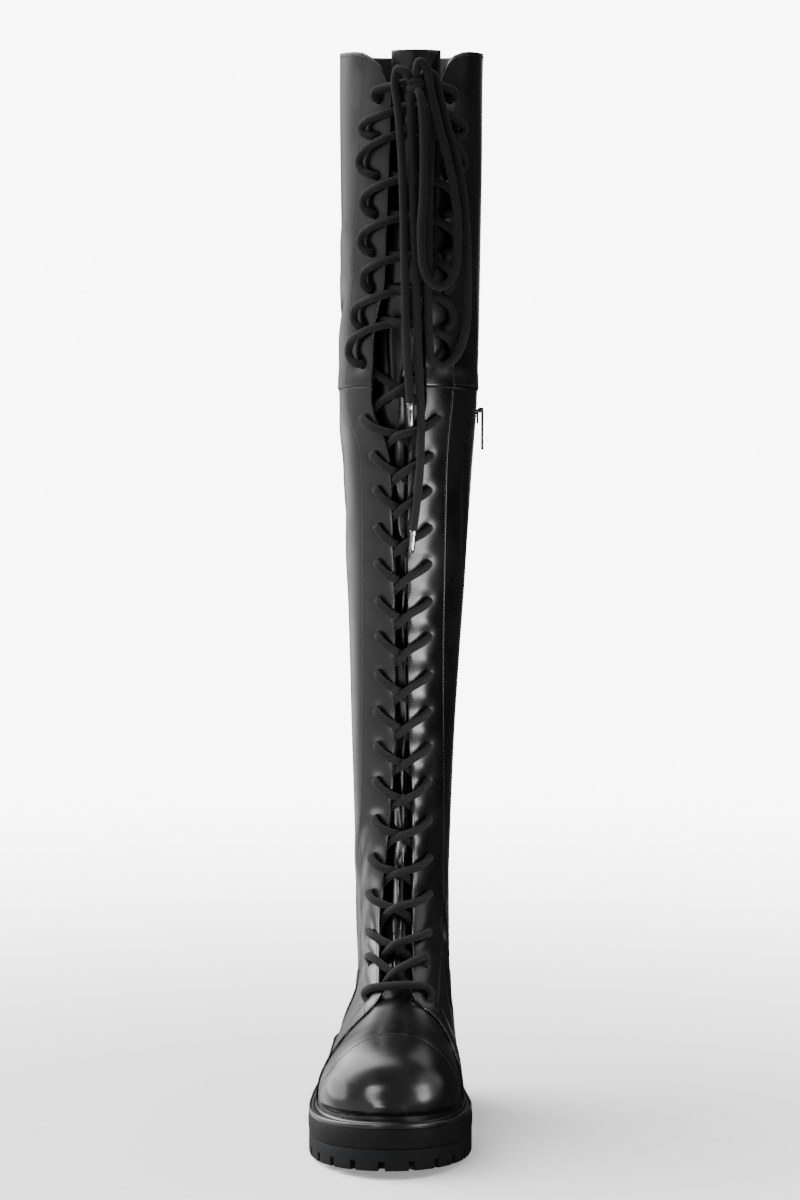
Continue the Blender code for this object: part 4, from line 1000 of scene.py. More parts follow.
# ---- tongue ----
# folds that run up the tongue: offset from its middle, width, height in mm, lowest and highest z
TONGUE_FOLDS = (
    (-5.0, 2.4, 1.5, 104, 205), (4.2, 2.2, 1.6, 104, 195), (0.0, 2.6, -1.2, 104, 190),
    (3.0, 2.5, 1.0, 200, 420), (-8.0, 4.0, -1.2, 220, 460), (-3.5, 3.2, 1.2, 440, 530),
    (6.0, 3.0, -1.0, 430, 560), (-9.5, 3.0, 1.4, 500, 570), (1.0, 2.6, 1.3, 520, 590),
    (8.0, 3.5, 1.2, 545, 640), (-6.0, 3.5, 0.9, 600, 720))


def tongue_relief(across, z):
    """Height of the tongue's ripples and folds at a distance from its middle."""
    height = 0.25 * MM * np.sin(z / (9 * MM) + 4 * np.sin(across / (11 * MM)))
    for offset, width, tall, low, high in TONGUE_FOLDS:
        drift = 2.2 * MM * np.sin(z / (17 * MM) + offset)
        fade = eased((z - low * MM) / (14 * MM)) * eased((high * MM - z) / (14 * MM))
        height = height + tall * MM * fade * bell(across - offset * MM - drift, width * MM)
    return height


def build_tongue(finish):
    """Tongue in the throat, laid flat below and rolled into a half round towards its top."""
    levels = np.linspace(TONGUE_BOTTOM, TONGUE_TOP, 380)
    across = np.linspace(-TONGUE_HALF, TONGUE_HALF, 44)
    middle = sum(throat_middle(levels + shift) for shift in (-TONGUE_EASE, 0, TONGUE_EASE)) / 3
    curled = eased((levels - TONGUE_FREE) / (TONGUE_ROLLED - TONGUE_FREE))[:, None, None]
    z = levels[:, None] + 0 * across[None]
    folds = tongue_relief(across[None] + 0 * z, z)
    laid = before_front(middle[:, None] + across[None] * TONGUE_SPREAD, z, folds - TONGUE_DEPTH)
    turn, radius = (across / TONGUE_CURL)[None], TONGUE_CURL + 0.5 * folds
    back = front_y(middle, levels)[:, None] + TONGUE_DEPTH + TONGUE_CURL
    rolled = np.stack([middle[:, None] + radius * np.sin(turn), back - radius * np.cos(turn), z], axis=2)
    points = laid + (rolled - laid) * curled
    piece = mesh_of("tongue_leather", points.reshape(-1, 3), grid_faces(len(levels), len(across)))
    walled(piece, TONGUE_WALL, 0.4 * MM)
    dressed(piece, finish["leather"], stands_for=["tongue"])


# ---- tubes ----
# rounded end of a tube, as shares of its radius
TUBE_END = dict(radius=(0.02, 0.55, 0.86), back=(0.45, 0.36, 0.18))


def flowing(points, step):
    """Points a step apart on a rounded curve through given points."""
    stops = np.array(points, float)
    stops = np.vstack([2 * stops[0] - stops[1], stops, 2 * stops[-1] - stops[-2]])
    knots = np.concatenate([[0.0], np.cumsum(np.linalg.norm(np.diff(stops, axis=0), axis=1) ** 0.5)])
    line = []
    for k in range(1, len(stops) - 2):
        t = np.linspace(knots[k], knots[k + 1], 16, endpoint=False)[:, None]
        t0, t1, t2, t3 = knots[k - 1:k + 3]
        p0, p1, p2, p3 = stops[k - 1:k + 3]
        a1 = (t1 - t) / (t1 - t0) * p0 + (t - t0) / (t1 - t0) * p1
        a2 = (t2 - t) / (t2 - t1) * p1 + (t - t1) / (t2 - t1) * p2
        a3 = (t3 - t) / (t3 - t2) * p2 + (t - t2) / (t3 - t2) * p3
        b1 = (t2 - t) / (t2 - t0) * a1 + (t - t0) / (t2 - t0) * a2
        b2 = (t3 - t) / (t3 - t1) * a2 + (t - t1) / (t3 - t1) * a3
        line.append((t2 - t) / (t2 - t1) * b1 + (t - t1) / (t2 - t1) * b2)
    line = np.vstack(line + [stops[-2][None]])
    total = walked_along(line)[-1]
    return along(line, np.linspace(0, total, counted(total, step)))


def turned_frames(line):
    """Two directions across a line at each of its points, without twist."""
    run = np.gradient(line, axis=0)
    run /= np.linalg.norm(run, axis=1)[:, None]
    first = np.cross(run[0], (0.3, 0.1, 1.0))
    across = [first / np.linalg.norm(first)]
    for ahead in run[1:]:
        moved = across[-1] - ahead * (across[-1] @ ahead)
        across.append(moved / np.linalg.norm(moved))
    across = np.array(across)
    return run, across, np.cross(run, across)


def rings_round(across, over, sides):
    """Directions of a ring's points, for each pair of directions across a line."""
    turn = np.arange(sides) / sides * math.tau
    return across[:, None] * np.cos(turn)[None, :, None] + over[:, None] * np.sin(turn)[None, :, None]


def map_round(data, sides, along_it):
    """UV map that runs once round a tube and on along it, for each ring's place in turns."""
    layer = data.uv_layers.new(name="round_and_along")
    for face in data.polygons:
        columns = [data.loops[i].vertex_index % sides for i in face.loop_indices]
        wraps = max(columns) - min(columns) > 1 and len(columns) == 4
        for i, column in zip(face.loop_indices, columns):
            u = (column + (sides if wraps and column == 0 else 0)) / sides
            layer.data[i].uv = (u, along_it[data.loops[i].vertex_index // sides])


def tube(name, line, radius, sides=12):
    """Closed round tube along a line, with a UV map that runs round it and along it."""
    run, across, over = turned_frames(line)
    cap = np.array(TUBE_END["radius"]) * radius
    pull = np.array(TUBE_END["back"]) * radius
    line = np.vstack([line[0] - run[0] * pull[:, None], line, line[-1] + run[-1] * pull[::-1, None]])
    across, over = (np.vstack([way[:1].repeat(3, 0), way, way[-1:].repeat(3, 0)]) for way in (across, over))
    radii = np.concatenate([cap, np.full(len(line) - 6, radius), cap[::-1]])
    points = line[:, None] + rings_round(across, over, sides) * radii[:, None, None]
    data = bpy.data.meshes.new(name)
    data.from_pydata(points.reshape(-1, 3).tolist(), [], ring_faces(len(line), sides))
    map_round(data, sides, walked_along(line) / (math.tau * radius))
    data.shade_smooth()
    return linked(name, data)


# ---- lacing ----
# heights of the lace's middle over the leather, in mm
OVER_EDGE, BY_EYELET, IN_HOLE, THROUGH, BELOW, INSIDE = 3.4, 3.5, 0.6, -2.8, -5.1, -5.1
TOP_CROSS, LOW_CROSS = 2.2, -3.2
LACE_STEP = 1.4 * MM


def throat_x(side, z):
    """x of the throat's edge at a height, both in mm."""
    return float(throat_at[side](z * MM)) / MM


def tight_run(side, row):
    """Stops of a run below the knee, from under the opposite facing up into its own eyelet."""
    x, z = eyelet(side, row)
    cross = z + EYELETS["cross"][row]
    low = cross - 5.5
    middle = throat_middle(cross * MM) / MM
    arch = EYELETS["arch"][row]
    edge = throat_x(side, z + 0.45 * EYELETS["cross"][row])
    return [(throat_x(-side, low) - side * 1.0, low, BELOW),
            (middle, cross, TOP_CROSS if side == INNER else LOW_CROSS),
            (edge + side * 1.5, cross + 0.42 * (z - cross) + arch, OVER_EDGE),
            (edge + 0.62 * (x - edge), cross + 0.78 * (z - cross) + arch, BY_EYELET),
            (x - side * 0.6, z + 0.5 + 0.5 * arch, IN_HOLE + 1.2),
            (x, z, THROUGH)]


def loose_run(side, row):
    """Stops of a run above the knee, out of its eyelet, round in a loop and to the throat's middle."""
    x, z = eyelet(side, row)
    cross, swing = EYELETS["cross"][row], EYELETS["swing"][row]
    edge = throat_x(side, z + cross)
    middle = throat_middle((z + cross + 3) * MM) / MM
    return [(x, z, THROUGH), (x + side * 0.25 * swing, z + 0.5, IN_HOLE + 1.5),
            (x + side * 0.8 * swing, z + 0.15 * cross, 4.2),
            (x + side * swing, z + 0.34 * cross, 5.0),
            (x + side * 0.75 * swing - 0.05 * (x - edge), z + 0.62 * cross, 4.6),
            (edge + side * 3.0, z + 0.93 * cross, OVER_EDGE),
            (middle, z + cross + 3, TOP_CROSS if side == INNER else LOW_CROSS),
            (throat_x(-side, z + cross + 5) - side * 1.5, z + cross + 4, BELOW)]


def lace_stops(side):
    """Stops of one half of the lace, from the end of the bottom bar up to the knot."""
    x, z = eyelet(side, ROW_COUNT - 1)
    stops = [(x + side * 0.6, z + 1.5, IN_HOLE + 1.6), (x, z - 1, THROUGH)]
    side = -side
    for row in range(ROW_COUNT - 2, ROWS_ABOVE_KNEE - 1, -1):
        stops += tight_run(side, row)
        side = -side
    x, z = eyelet(-side, ROWS_ABOVE_KNEE)
    stops += [(throat_x(-side, z + 9), z + 10, INSIDE - 1),
              (throat_middle((z + 19) * MM) / MM, z + 20, -6.2 if side == OUTER else -1.6),
              (throat_x(side, z + 30), z + 30, INSIDE - 0.5)]
    for row in range(ROWS_ABOVE_KNEE - 1, 0, -1):
        stops += loose_run(side, row)
        side = -side
    x, z = eyelet(side, 0)
    edge = throat_x(side, z)
    stops += [(x, z, THROUGH), (x + side * 1.0, z + 1.5, 2.6), (x + side * 0.4, z + 5.5, 4.2),
              (edge + side * 1.5, z + 8.5, OVER_EDGE + 0.6),
              (KNOT_CENTRE[0] + side * 5, KNOT_CENTRE[1] + 1.0, 8.5)]
    return stops


def on_front(stops):
    route = np.array(stops)
    return before_front(route[:, 0] * MM, route[:, 1] * MM, route[:, 2] * MM)


def build_lacing(finish):
    """The lace through its eyelets, one length from the knot down to the bottom bar and back."""
    inner, outer = lace_stops(INNER), lace_stops(OUTER)
    (x_in, z), (x_out, _) = eyelet(INNER, ROW_COUNT - 1), eyelet(OUTER, ROW_COUNT - 1)
    middle, lift = (x_in + x_out) / 2, EYELETS["cross"][-1]
    bar = [(x_in - 3.5, z + 0.85 * lift, 3.6), (middle + 7, z + lift + 1.5, 3.2),
           (middle - 6, z + lift + 1.0, 3.2), (x_out + 4.5, z + 0.8 * lift, 3.8)]
    route = on_front(inner[::-1] + bar + outer)
    made = tube("lace_through_eyelets", flowing(route, LACE_STEP), LACE / 2)
    rows = [f"lace_row_{row + 1:02d}" for row in range(ROW_COUNT)]
    dressed(made, finish["lace"], stands_for=rows)


def hung(x, z, before):
    """Point of the bow: before the leather, and less far round the leg than the leather goes."""
    x, z, before = x * MM, z * MM, before * MM
    near = min(x, BOW_TURN_X)
    y = front_y(near, z) + BOW_WRAP * (front_y(x, z) - front_y(near, z))
    return np.array([x, float(y) - before, z])


def leaving(centre, towards):
    """Place just off the knot, on the way to a point."""
    way = towards - centre
    way /= np.linalg.norm(way)
    reach = 1 / np.linalg.norm(way / np.array(KNOT_SIZE))
    return centre + way * (reach + KNOT_CLEAR)


def knot_route(centre):
    """Route of the knot: a crossed band with one turn round it."""
    turn = np.linspace(0, math.tau, 90)
    wrap = (3.4 * np.cos(turn), 2.6 * np.sin(turn), 5.2 * np.sin(turn + 0.5))
    band = (4.6 * np.cos(2 * turn + 0.6) * (1 + 0.15 * np.cos(turn)), 2.9 * np.sin(2 * turn),
            3.2 * np.sin(turn) + 1.6 * np.cos(2 * turn))
    return np.hstack([band, wrap]).T * KNOT_SHRINK * MM + centre


def build_bow(finish):
    """Knot of the bow with its two loops and two ends, each end in its aglet."""
    centre = hung(*KNOT_CENTRE)
    knot = tube("lace_bow_knot", knot_route(centre), LACE / 2 * 0.96)
    dressed(knot, finish["lace"], stands_for=["lace_knot"])
    for name, stops in ROUTES.items():
        points = [hung(*stop) for stop in stops]
        points.insert(0, leaving(centre, points[0]))
        loop = name.startswith("lace_loop")
        if loop:
            points.append(leaving(centre, points[-1]))
        line = smooth_route(points, LACE_STEP)
        piece = tube(name.replace("lace_", "bow_"), line, LACE / 2)
        dressed(piece, finish["lace"], stands_for=[name])
        tips = []
        if not loop:
            tip_name, end = AGLET_ENDS[name]
            way = hung(*end) - line[-1]
            way /= np.linalg.norm(way)
            tips = [build_aglet(tip_name, line[-1], way, finish)]


def build_aglet(node, start, way, finish):
    """Rolled metal tip with a crimped waist and a rounded end."""
    _, across, over = turned_frames(start + np.outer((0, 1, 2), way))
    ring = rings_round(across[:1], over[:1], AGLET_SIDES)[0]
    points = [start + way * (GAP + reach * MM) + ring * radius * MM for reach, radius in AGLET_PROFILE]
    piece = mesh_of(node + "_tip", np.concatenate(points), ring_faces(len(AGLET_PROFILE), AGLET_SIDES))
    smoothed(piece.data, 50)
    return dressed(piece, finish["steel"], stands_for=[node])


# ---- sole ----
def midsole_bottom(y):
    return welt_top(y) - WELT_THICK - MIDSOLE_THICK


def loops(inset, stations):
    """Outline points from toe to heel along the inner side and back along the outer one."""
    inner_x, y = outline(INNER, inset, stations)
    outer_x = outline(OUTER, inset, stations)[0]
    last = None if inner_x[0] - outer_x[0] > MM else 0
    return np.concatenate([inner_x, outer_x[-2:last:-1]]), np.concatenate([y, y[-2:last:-1]])


def sole_layer(name, profile, stations=None, closed=False):
    """Layer of the sole from a profile of (inset, level) pairs, capped or closed into a ring."""
    stations = sole_stations() if stations is None else stations
    rings = []
    for inset, level in profile:
        x, y = loops(inset, stations)
        rings.append(np.stack([x, y, level(y)], axis=1))
    count, half = len(rings[0]), len(stations)
    faces = ring_faces(len(rings), count, ends=False, closed=closed)
    if not closed:
        for start, turned in ((0, True), ((len(rings) - 1) * count, False)):
            across = [start + (2 * (half - 1) - k) % count for k in range(half)]
            for k in range(half - 1):
                quad = list(dict.fromkeys((start + k, start + k + 1, across[k + 1], across[k])))
                faces.append(tuple(quad if not turned else quad[::-1]))
    piece = mesh_of(name, np.concatenate(rings), faces)
    work = bmesh.new()
    work.from_mesh(piece.data)
    bmesh.ops.recalc_face_normals(work, faces=work.faces)
    work.to_mesh(piece.data)
    work.free()
    return piece


def box_at(work, centre, size, turn=None):
    """Adds a box to a bmesh, turned about its middle if need be, and returns its corners."""
    corners = bmesh.ops.create_cube(work, size=1.0)["verts"]
    bmesh.ops.scale(work, vec=size, verts=corners)
    if turn is not None:
        bmesh.ops.rotate(work, cent=(0, 0, 0), matrix=turn, verts=corners)
    bmesh.ops.translate(work, vec=centre, verts=corners)
    return corners


def grooved(piece, boxes, rim):
    """Cuts boxes out of a piece and rounds the edges that are left."""
    work = bmesh.new()
    for centre, half, direction in boxes:
        turn = Matrix.Rotation(math.atan2(direction[1], direction[0]), 3, "Z")
        box_at(work, centre, 2 * Vector(half), turn)
    cut_away(piece, from_work("groove_boxes", work), crossing=True)
    bevelled(piece, rim, 2, 50)
    return baked(piece, sharp=45)


def edge_notches(first_y, last_y, under, from_heel):
    """Boxes for the notches between the edge lugs, square to the sole's edge."""
    boxes = []
    fine = np.linspace(first_y, last_y, 400)
    half = ((NOTCH_REACH + CUT_BEYOND) / 2, NOTCH_WIDTH / 2, CUT_HALF)
    for side in (INNER, OUTER):
        edge = np.stack([sole_half(side, fine) * side, fine, 0 * fine], axis=1)
        edge = edge[::-1] if from_heel else edge
        total = walked_along(edge)[-1]
        places = NOTCH_PITCH * (np.arange(int(total / NOTCH_PITCH - 0.3)) + 0.5)
        places += 0 if from_heel else side * NOTCH_SHIFT
        for here, near in zip(along(edge, places), along(edge, places + MM)):
            run = (near - here) / np.linalg.norm(near - here)
            inward = np.array([-side * abs(run[1]), run[0] * side * np.sign(run[1]), 0])
            centre = here + inward * (NOTCH_REACH - CUT_BEYOND) / 2
            centre[2] = float(under(here[1])) + TREAD_DEPTH - CUT_HALF
            boxes.append((centre, half, inward))
    return boxes


def centre_grooves():
    """Boxes for the grooves along both sides of the forefoot's middle lugs and between them."""
    deep, middle = CENTRE_GROOVE_DEPTH - CUT_HALF, (CENTRE_FRONT + CENTRE_REAR) / 2
    long_half = ((CENTRE_REAR - CENTRE_FRONT) / 2, NOTCH_WIDTH / 2, CUT_HALF)
    boxes = [((side * CENTRE_LUG_HALF, middle, deep), long_half, (0, 1)) for side in (INNER, OUTER)]
    step = (CENTRE_REAR - CENTRE_FRONT) / CENTRE_LUGS
    across_half = (CENTRE_LUG_HALF + MM, NOTCH_WIDTH / 2, CUT_HALF)
    return boxes + [((0, CENTRE_FRONT + step * k, deep), across_half, (1, 0)) for k in range(CENTRE_LUGS)]


def rounded_side(bottom, top, radius, bulge=0.0):
    """Profile of a layer's side with rounded edges, bulging out a little in between."""
    inset = lambda amount: lambda y: np.full_like(y, amount)
    level = lambda share, add: lambda y: bottom(y) + (top(y) - bottom(y)) * share + add
    low_edge = [(inset(3 * radius), bottom), (inset(radius), bottom),
                (inset(0.3 * radius), level(0, 0.3 * radius)), (inset(0.0), level(0, radius))]
    between = [(inset(-bulge * out), level(share, 0)) for out, share in ((0.7, 0.3), (1, 0.5), (0.7, 0.7))]
    high_edge = [(inset(0.0), level(1, -radius)), (inset(0.3 * radius), level(1, -0.3 * radius)),
                 (inset(radius), top), (inset(3 * radius), top)]
    return low_edge + between + high_edge


# welt from its rim to under the upper: share of the ledge's width, added width and height in mm
WELT_PROFILE = (
    (0, 0, -3.2), (0, 0, -1.4), (.01, 0, -.75), (.04, 0, -.25), (.10, 0, .02), (.18, 0, .08), (.24, 0, -.1),
    (.28, 0, -.55), (.30, 0, -1.0), (.72, 0, -1.0), (.74, 0, -.6), (.78, 0, .2), (.84, 0, .62),
    (.90, 0, .68), (.96, 0, .4), (1, 0, -.05), (1, .4, -.1), (1, 3.0, -.1), (1, 3.0, -3.2))
NOTCH_SHIFT, TREAD_ROUND, TREAD_RIM = 6.7 * MM, 0.7 * MM, 0.35 * MM
RIB_PITCH, RIB_CHANNEL, RIB_MIDDLE = 1.6 * MM, 0.44, 0.51
RIB_SUNK, RIB_SIZE = 0.95 * MM, (0.95 * MM, 1.1 * MM)


def build_sole(finish):
    """Outsole and heel lift with their lugs, the midsole and the welt."""
    sides = rounded_side(tread_bottom, lambda y: midsole_bottom(y) - GAP / 2, TREAD_ROUND)
    outsole = sole_layer("outsole_tread", sides)
    notches = edge_notches(TOE_TIP, CENTRE_REAR, tread_bottom, False)
    grooved(outsole, notches + centre_grooves(), TREAD_RIM)
    dressed(outsole, finish["tread"], stands_for=["outsole"])

    ground = lambda y: 0.0 * y
    sides = rounded_side(ground, lambda y: base_bottom(y) - GAP, TREAD_ROUND)
    heel = sole_layer("heel_lift", sides, sole_stations(HEEL_BREAST, HEEL_TIP, round_first=False))
    grooved(heel, edge_notches(HEEL_BREAST + NOTCH_PITCH / 2, HEEL_TIP, ground, True), TREAD_RIM)
    dressed(heel, finish["tread"], stands_for=["heel_block"])

    sides = rounded_side(midsole_bottom, lambda y: welt_top(y) - WELT_THICK - 0.05 * MM, 0.6 * MM, 0.5 * MM)
    midsole = baked(sole_layer("midsole_band", sides), sharp=60)
    dressed(midsole, finish["midsole"], stands_for=["midsole"])

    inset = lambda share, more: lambda y: share * level_at["ledge"](y) + more * MM
    level = lambda rise: lambda y: welt_top(y) + rise * MM
    profile = [(inset(share, more), level(rise)) for share, more, rise in WELT_PROFILE]
    welt = baked(sole_layer("welt_strip", profile, closed=True), sharp=70)
    dressed(welt, finish["welt"], stands_for=["welt"])
    build_welt_ribs(finish)


# ---- what repeats: stitches, ribs and zip teeth ----
def put(tree, kind, inputs=(), **settings):
    """Node with its settings; inputs gives a value or another node's output by socket name."""
    made = tree.nodes.new(kind)
    for name, value in settings.items():
        setattr(made, name, value)
    for name, value in dict(inputs).items():
        if isinstance(value, bpy.types.NodeSocket):
            tree.links.new(value, made.inputs[name])
        else:
            made.inputs[name].default_value = value
    return made


def repeat_tree():
    """Geometry nodes that set a shape on every guide point, turned and sized by its attributes."""
    tree = bpy.data.node_groups.new("set_on_guides", "GeometryNodeTree")
    for title, way, kind in (("Guides", "INPUT", "Geometry"), ("Shape", "INPUT", "Object"),
                             ("Finish", "INPUT", "Material"), ("Pieces", "OUTPUT", "Geometry")):
        tree.interface.new_socket(title, in_out=way, socket_type="NodeSocket" + kind)
    given = put(tree, "NodeGroupInput").outputs
    end = put(tree, "NodeGroupOutput")
    read = {name: put(tree, "GeometryNodeInputNamedAttribute", {"Name": name}, data_type="FLOAT_VECTOR")
            for name in ("along", "outward", "size")}
    turn = put(tree, "FunctionNodeAxesToRotation",
               {"Primary Axis": read["along"].outputs["Attribute"],
                "Secondary Axis": read["outward"].outputs["Attribute"]},
               primary_axis="X", secondary_axis="Z")
    shape = put(tree, "GeometryNodeObjectInfo", {"Object": given["Shape"]})
    copies = put(tree, "GeometryNodeInstanceOnPoints",
                 {"Points": given["Guides"], "Instance": shape.outputs["Geometry"],
                  "Rotation": turn.outputs["Rotation"], "Scale": read["size"].outputs["Attribute"]})
    real = put(tree, "GeometryNodeRealizeInstances", {"Geometry": copies.outputs["Instances"]})
    dress = put(tree, "GeometryNodeSetMaterial",
                {"Geometry": real.outputs["Geometry"], "Material": given["Finish"]})
    tree.links.new(dress.outputs["Geometry"], end.inputs["Pieces"])
    return tree


def stitch_shape(work):
    """Rounded stitch of unit size along x."""
    lying = Matrix.Rotation(math.pi / 2, 4, "Y")
    bmesh.ops.create_uvsphere(work, u_segments=6, v_segments=4, radius=0.5, matrix=lying)


def block_shape(work):
    """Unit block with softened edges, for a rib or a tooth."""
    bmesh.ops.create_cube(work, size=1.0)
    bmesh.ops.bevel(work, geom=list(work.edges), offset=0.18, segments=1, affect="EDGES")


def repeated(name, shape_of, places, ways, outward, sizes, material):
    """One mesh of many small pieces, set on guide points by geometry nodes."""
    data = bpy.data.meshes.new(name)
    data.from_pydata(np.asarray(places).tolist(), [], [])
    sizes = np.broadcast_to(sizes, (len(places), 3))
    for attribute, values in (("along", ways), ("outward", outward), ("size", sizes)):
        layer = data.attributes.new(attribute, "FLOAT_VECTOR", "POINT")
        layer.data.foreach_set("vector", np.ascontiguousarray(values, np.float32).ravel())
    piece = linked(name, data)
    work = bmesh.new()
    shape_of(work)
    shape = from_work(name + "_shape", work)
    shape.data.shade_smooth()
    tree = bpy.data.node_groups.get("set_on_guides") or repeat_tree()
    setter = piece.modifiers.new("repeat", "NODES")
    setter.node_group = tree
    named = {item.name: item.identifier for item in tree.interface.items_tree if item.in_out == "INPUT"}
    setter[named["Shape"]] = shape
    setter[named["Finish"]] = material
    baked(piece)
    bpy.data.objects.remove(shape, do_unlink=True)
    piece.data.shade_smooth()
    return piece


def guides(lines, pitch, reach, first=0.5):
    """Places a pitch apart along lines of points and normals, their ways onwards and normals."""
    places, ways, outward = [], [], []
    for points, normals in lines:
        walked = walked_along(points)
        centres = np.arange(first * pitch, walked[-1], pitch)
        places.append(along(points, centres))
        ways.append(along(points, centres + reach) - along(points, centres - reach))
        outward.append(np.stack([np.interp(centres, walked, normals[:, k]) for k in range(3)], axis=1))
    return (np.concatenate(item) for item in (places, ways, outward))


# ---- stitching ----
STITCH_PITCH, STITCH_SIZE = 2.3 * MM, (1.8 * MM, 0.62 * MM, 0.42 * MM)
# stitched lines' distance inside the edges that they follow
THROAT_MARGIN, COLLAR_MARGIN, SEAM_MARGIN = 1.7 * MM, 2.4 * MM, 1.6 * MM
ZIP_MARGIN, COUNTER_MARGIN = 2.2 * MM, 1.8 * MM
# rows between which they run: by the throat and by the facing's seam, below and above the knee
THROAT_STITCHES, SEAM_STITCHES = ((8.75, 26.88), (26.98, 30.92)), ((8.2, 26.90), (26.98, 30.95))
STRAP_STITCHES, COUNTER_STITCHES = (15.4, 30.9), (11.7, 17.8)


def collar_line(side, inset):
    """Line on the leather at an even distance inside the collar's edge."""
    reach = edge_share(side, TOP_ROW) * length_at(side, TOP_ROW)
    round_end = 30 * MM
    straight = np.linspace(round_end, 0.95 * reach, 300)
    distance = np.concatenate([np.linspace(0, round_end, 200)[:-1], straight])
    drop = collar_drop(side, distance)
    run, fall = np.gradient(distance), np.gradient(drop)
    size = np.hypot(run, fall)
    distance, drop = distance - inset * fall / size, drop + inset * run / size
    keep = distance > 1.5 * MM
    distance, drop = distance[keep][::-1], drop[keep][::-1]
    rows = TOP_ROW - drop / TOP_SPAN
    shares = edge_share(side, rows) - distance / length_at(side, rows)
    return worn(side, rows, shares, flat_lift(0.25 * MM))


def seam_lines():
    """Every stitched line, as points and normals."""
    shaft, thigh, spread = quarter_height(FACING_LIFT), knee_lap(FACING_LIFT), np.linspace
    lines = []
    for side in (INNER, OUTER):
        reach = partial(length_at, side)
        low, high = (spread(*rows, 700) for rows in THROAT_STITCHES)
        high = np.minimum(high, collar_row(side, 0 * high + 1.9 * MM) - 0.02)
        for rows, lift in ((low, shaft), (high, thigh)):
            lines.append(worn(side, rows, edge_share(side, rows) - THROAT_MARGIN / reach(rows), lift))
        for ends, lift in zip(SEAM_STITCHES, (shaft, thigh)):
            rows = spread(*ends, 700)
            lines.append(worn(side, rows, seam_share(side, rows) + SEAM_MARGIN / reach(rows), lift))
        knee = spread(0.045, 1, 300) * edge_share(side, 27.0)
        cap, front = spread(0.02, 1, 260), spread(0.03, 0.86, 260)
        for shares, edge, distance, lift in (
                (knee, KNEE_SEAM_ROW + 0 * knee, 2.0 * MM, knee_lap(0.1 * MM)),
                (cap, cap_edge[side](cap), -1.6 * MM, flat_lift(CAP_LIFT)),
                (front, quarter_edge[side](front), 2.2 * MM, quarter_height(0.0))):
            lines.append(worn(side, moved_row(edge, distance), shares, lift))
        lines.append(collar_line(side, COLLAR_MARGIN))
        rows = spread(*STRAP_STITCHES, 700)
        lines.append(worn(side, rows, (STRAP_HALF - SEAM_MARGIN) / reach(rows), flat_lift(STRAP_LIFT)))
        rows = spread(*COUNTER_STITCHES, 260)
        shares = counter_edge(side, rows) - COUNTER_MARGIN / reach(rows)
        lines.append(worn(side, rows, shares, flat_lift(COUNTER_LIFT)))
    rows = spread(*ZIP_ROWS, 700)
    for across in (-1, 1):
        shares = zip_share(rows) + across * (ZIP_SLOT / 2 + ZIP_MARGIN) / length_at(INNER, rows)
        lines.append(worn(INNER, rows, shares, quarter_height(0.0)))
    return lines


def build_stitches(finish):
    places, ways, outward = guides(seam_lines(), STITCH_PITCH, 0.5 * MM)
    piece = repeated("stitching", stitch_shape, places + outward * 0.05 * MM, ways, outward, STITCH_SIZE,
                     finish["thread"])
    dressed(piece, finish["thread"])


def build_welt_ribs(finish):
    """Row of small ribs in the welt's channel."""
    lines = []
    for side in (INNER, OUTER):
        x, y = outline(side, lambda y: level_at["ledge"](y) * RIB_MIDDLE, sole_stations())
        channel = np.stack([x, y, welt_top(y) - RIB_SUNK], axis=1)
        lines.append((channel, np.tile((0.0, 0.0, 1.0), (len(channel), 1))))
    places, ways, outward = guides(lines, RIB_PITCH, 0.4 * MM)
    wide = level_at["ledge"](places[:, 1]) * RIB_CHANNEL
    sizes = np.stack([0 * wide + RIB_SIZE[0], wide, 0 * wide + RIB_SIZE[1]], axis=1)
    piece = repeated("welt_ribs", block_shape, places, ways, outward, sizes, finish["welt"])
    dressed(piece, finish["welt"])


# ---- zip ----
TOOTH_PITCH, TOOTH_SIZE = 1.55 * MM, (1.0 * MM, 2.9 * MM, 1.4 * MM)
TOOTH_SHIFT, TOOTH_SUNK = 0.62 * MM, 1.0 * MM
LUG_SHIFT, LUG_WIDE, LUG_TALL = 2.7 * MM, 0.9 * MM, 3.4 * MM
PIN_BELOW, PIN_RADIUS, PIN_LONG, PULL_THICK = 0.6 * MM, 1.15 * MM, 3.6 * MM, 1.9 * MM
PULL_HOLE_RADIUS, PULL_HOLE_HALF = 1.5 * MM, 4.5 * MM


def build_zip(finish):
    """Zip: its teeth, the slider and the pull, with the tape behind them."""
    rows = np.linspace(ZIP_ROWS[0] + 0.12, CHAIN_TOP_ROW, 900)
    line, normal = skin(INNER, rows, zip_share(rows))
    side_step = skin(INNER, rows, zip_share(rows) + 0.004)[0] - line
    across = side_step / np.linalg.norm(side_step, axis=1)[:, None]
    places, ways, outward = guides([(line, normal)], TOOTH_PITCH, MM, first=1)
    _, _, across = guides([(line, across)], TOOTH_PITCH, MM, first=1)
    turn = np.where(np.arange(len(places)) % 2, TOOTH_SHIFT, -TOOTH_SHIFT)[:, None]
    places += across * turn - outward * TOOTH_SUNK
    piece = repeated("zip_teeth", block_shape, places, ways, outward, TOOTH_SIZE, finish["zip"])
    dressed(piece, finish["zip"], stands_for=["zip_chain"])
    build_slider(finish)
    build_pull(finish)
    recoloured("zip_tape", finish["tape"])


def recoloured(node, material):
    """Gives a carried-over node its material."""
    materials = bpy.data.objects[node].data.materials
    materials.clear()
    materials.append(material)


def box_middle(node):
    """Middle and size of a node's box."""
    low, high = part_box(node)
    return (Vector(low) + Vector(high)) / 2, Vector(high) - Vector(low)


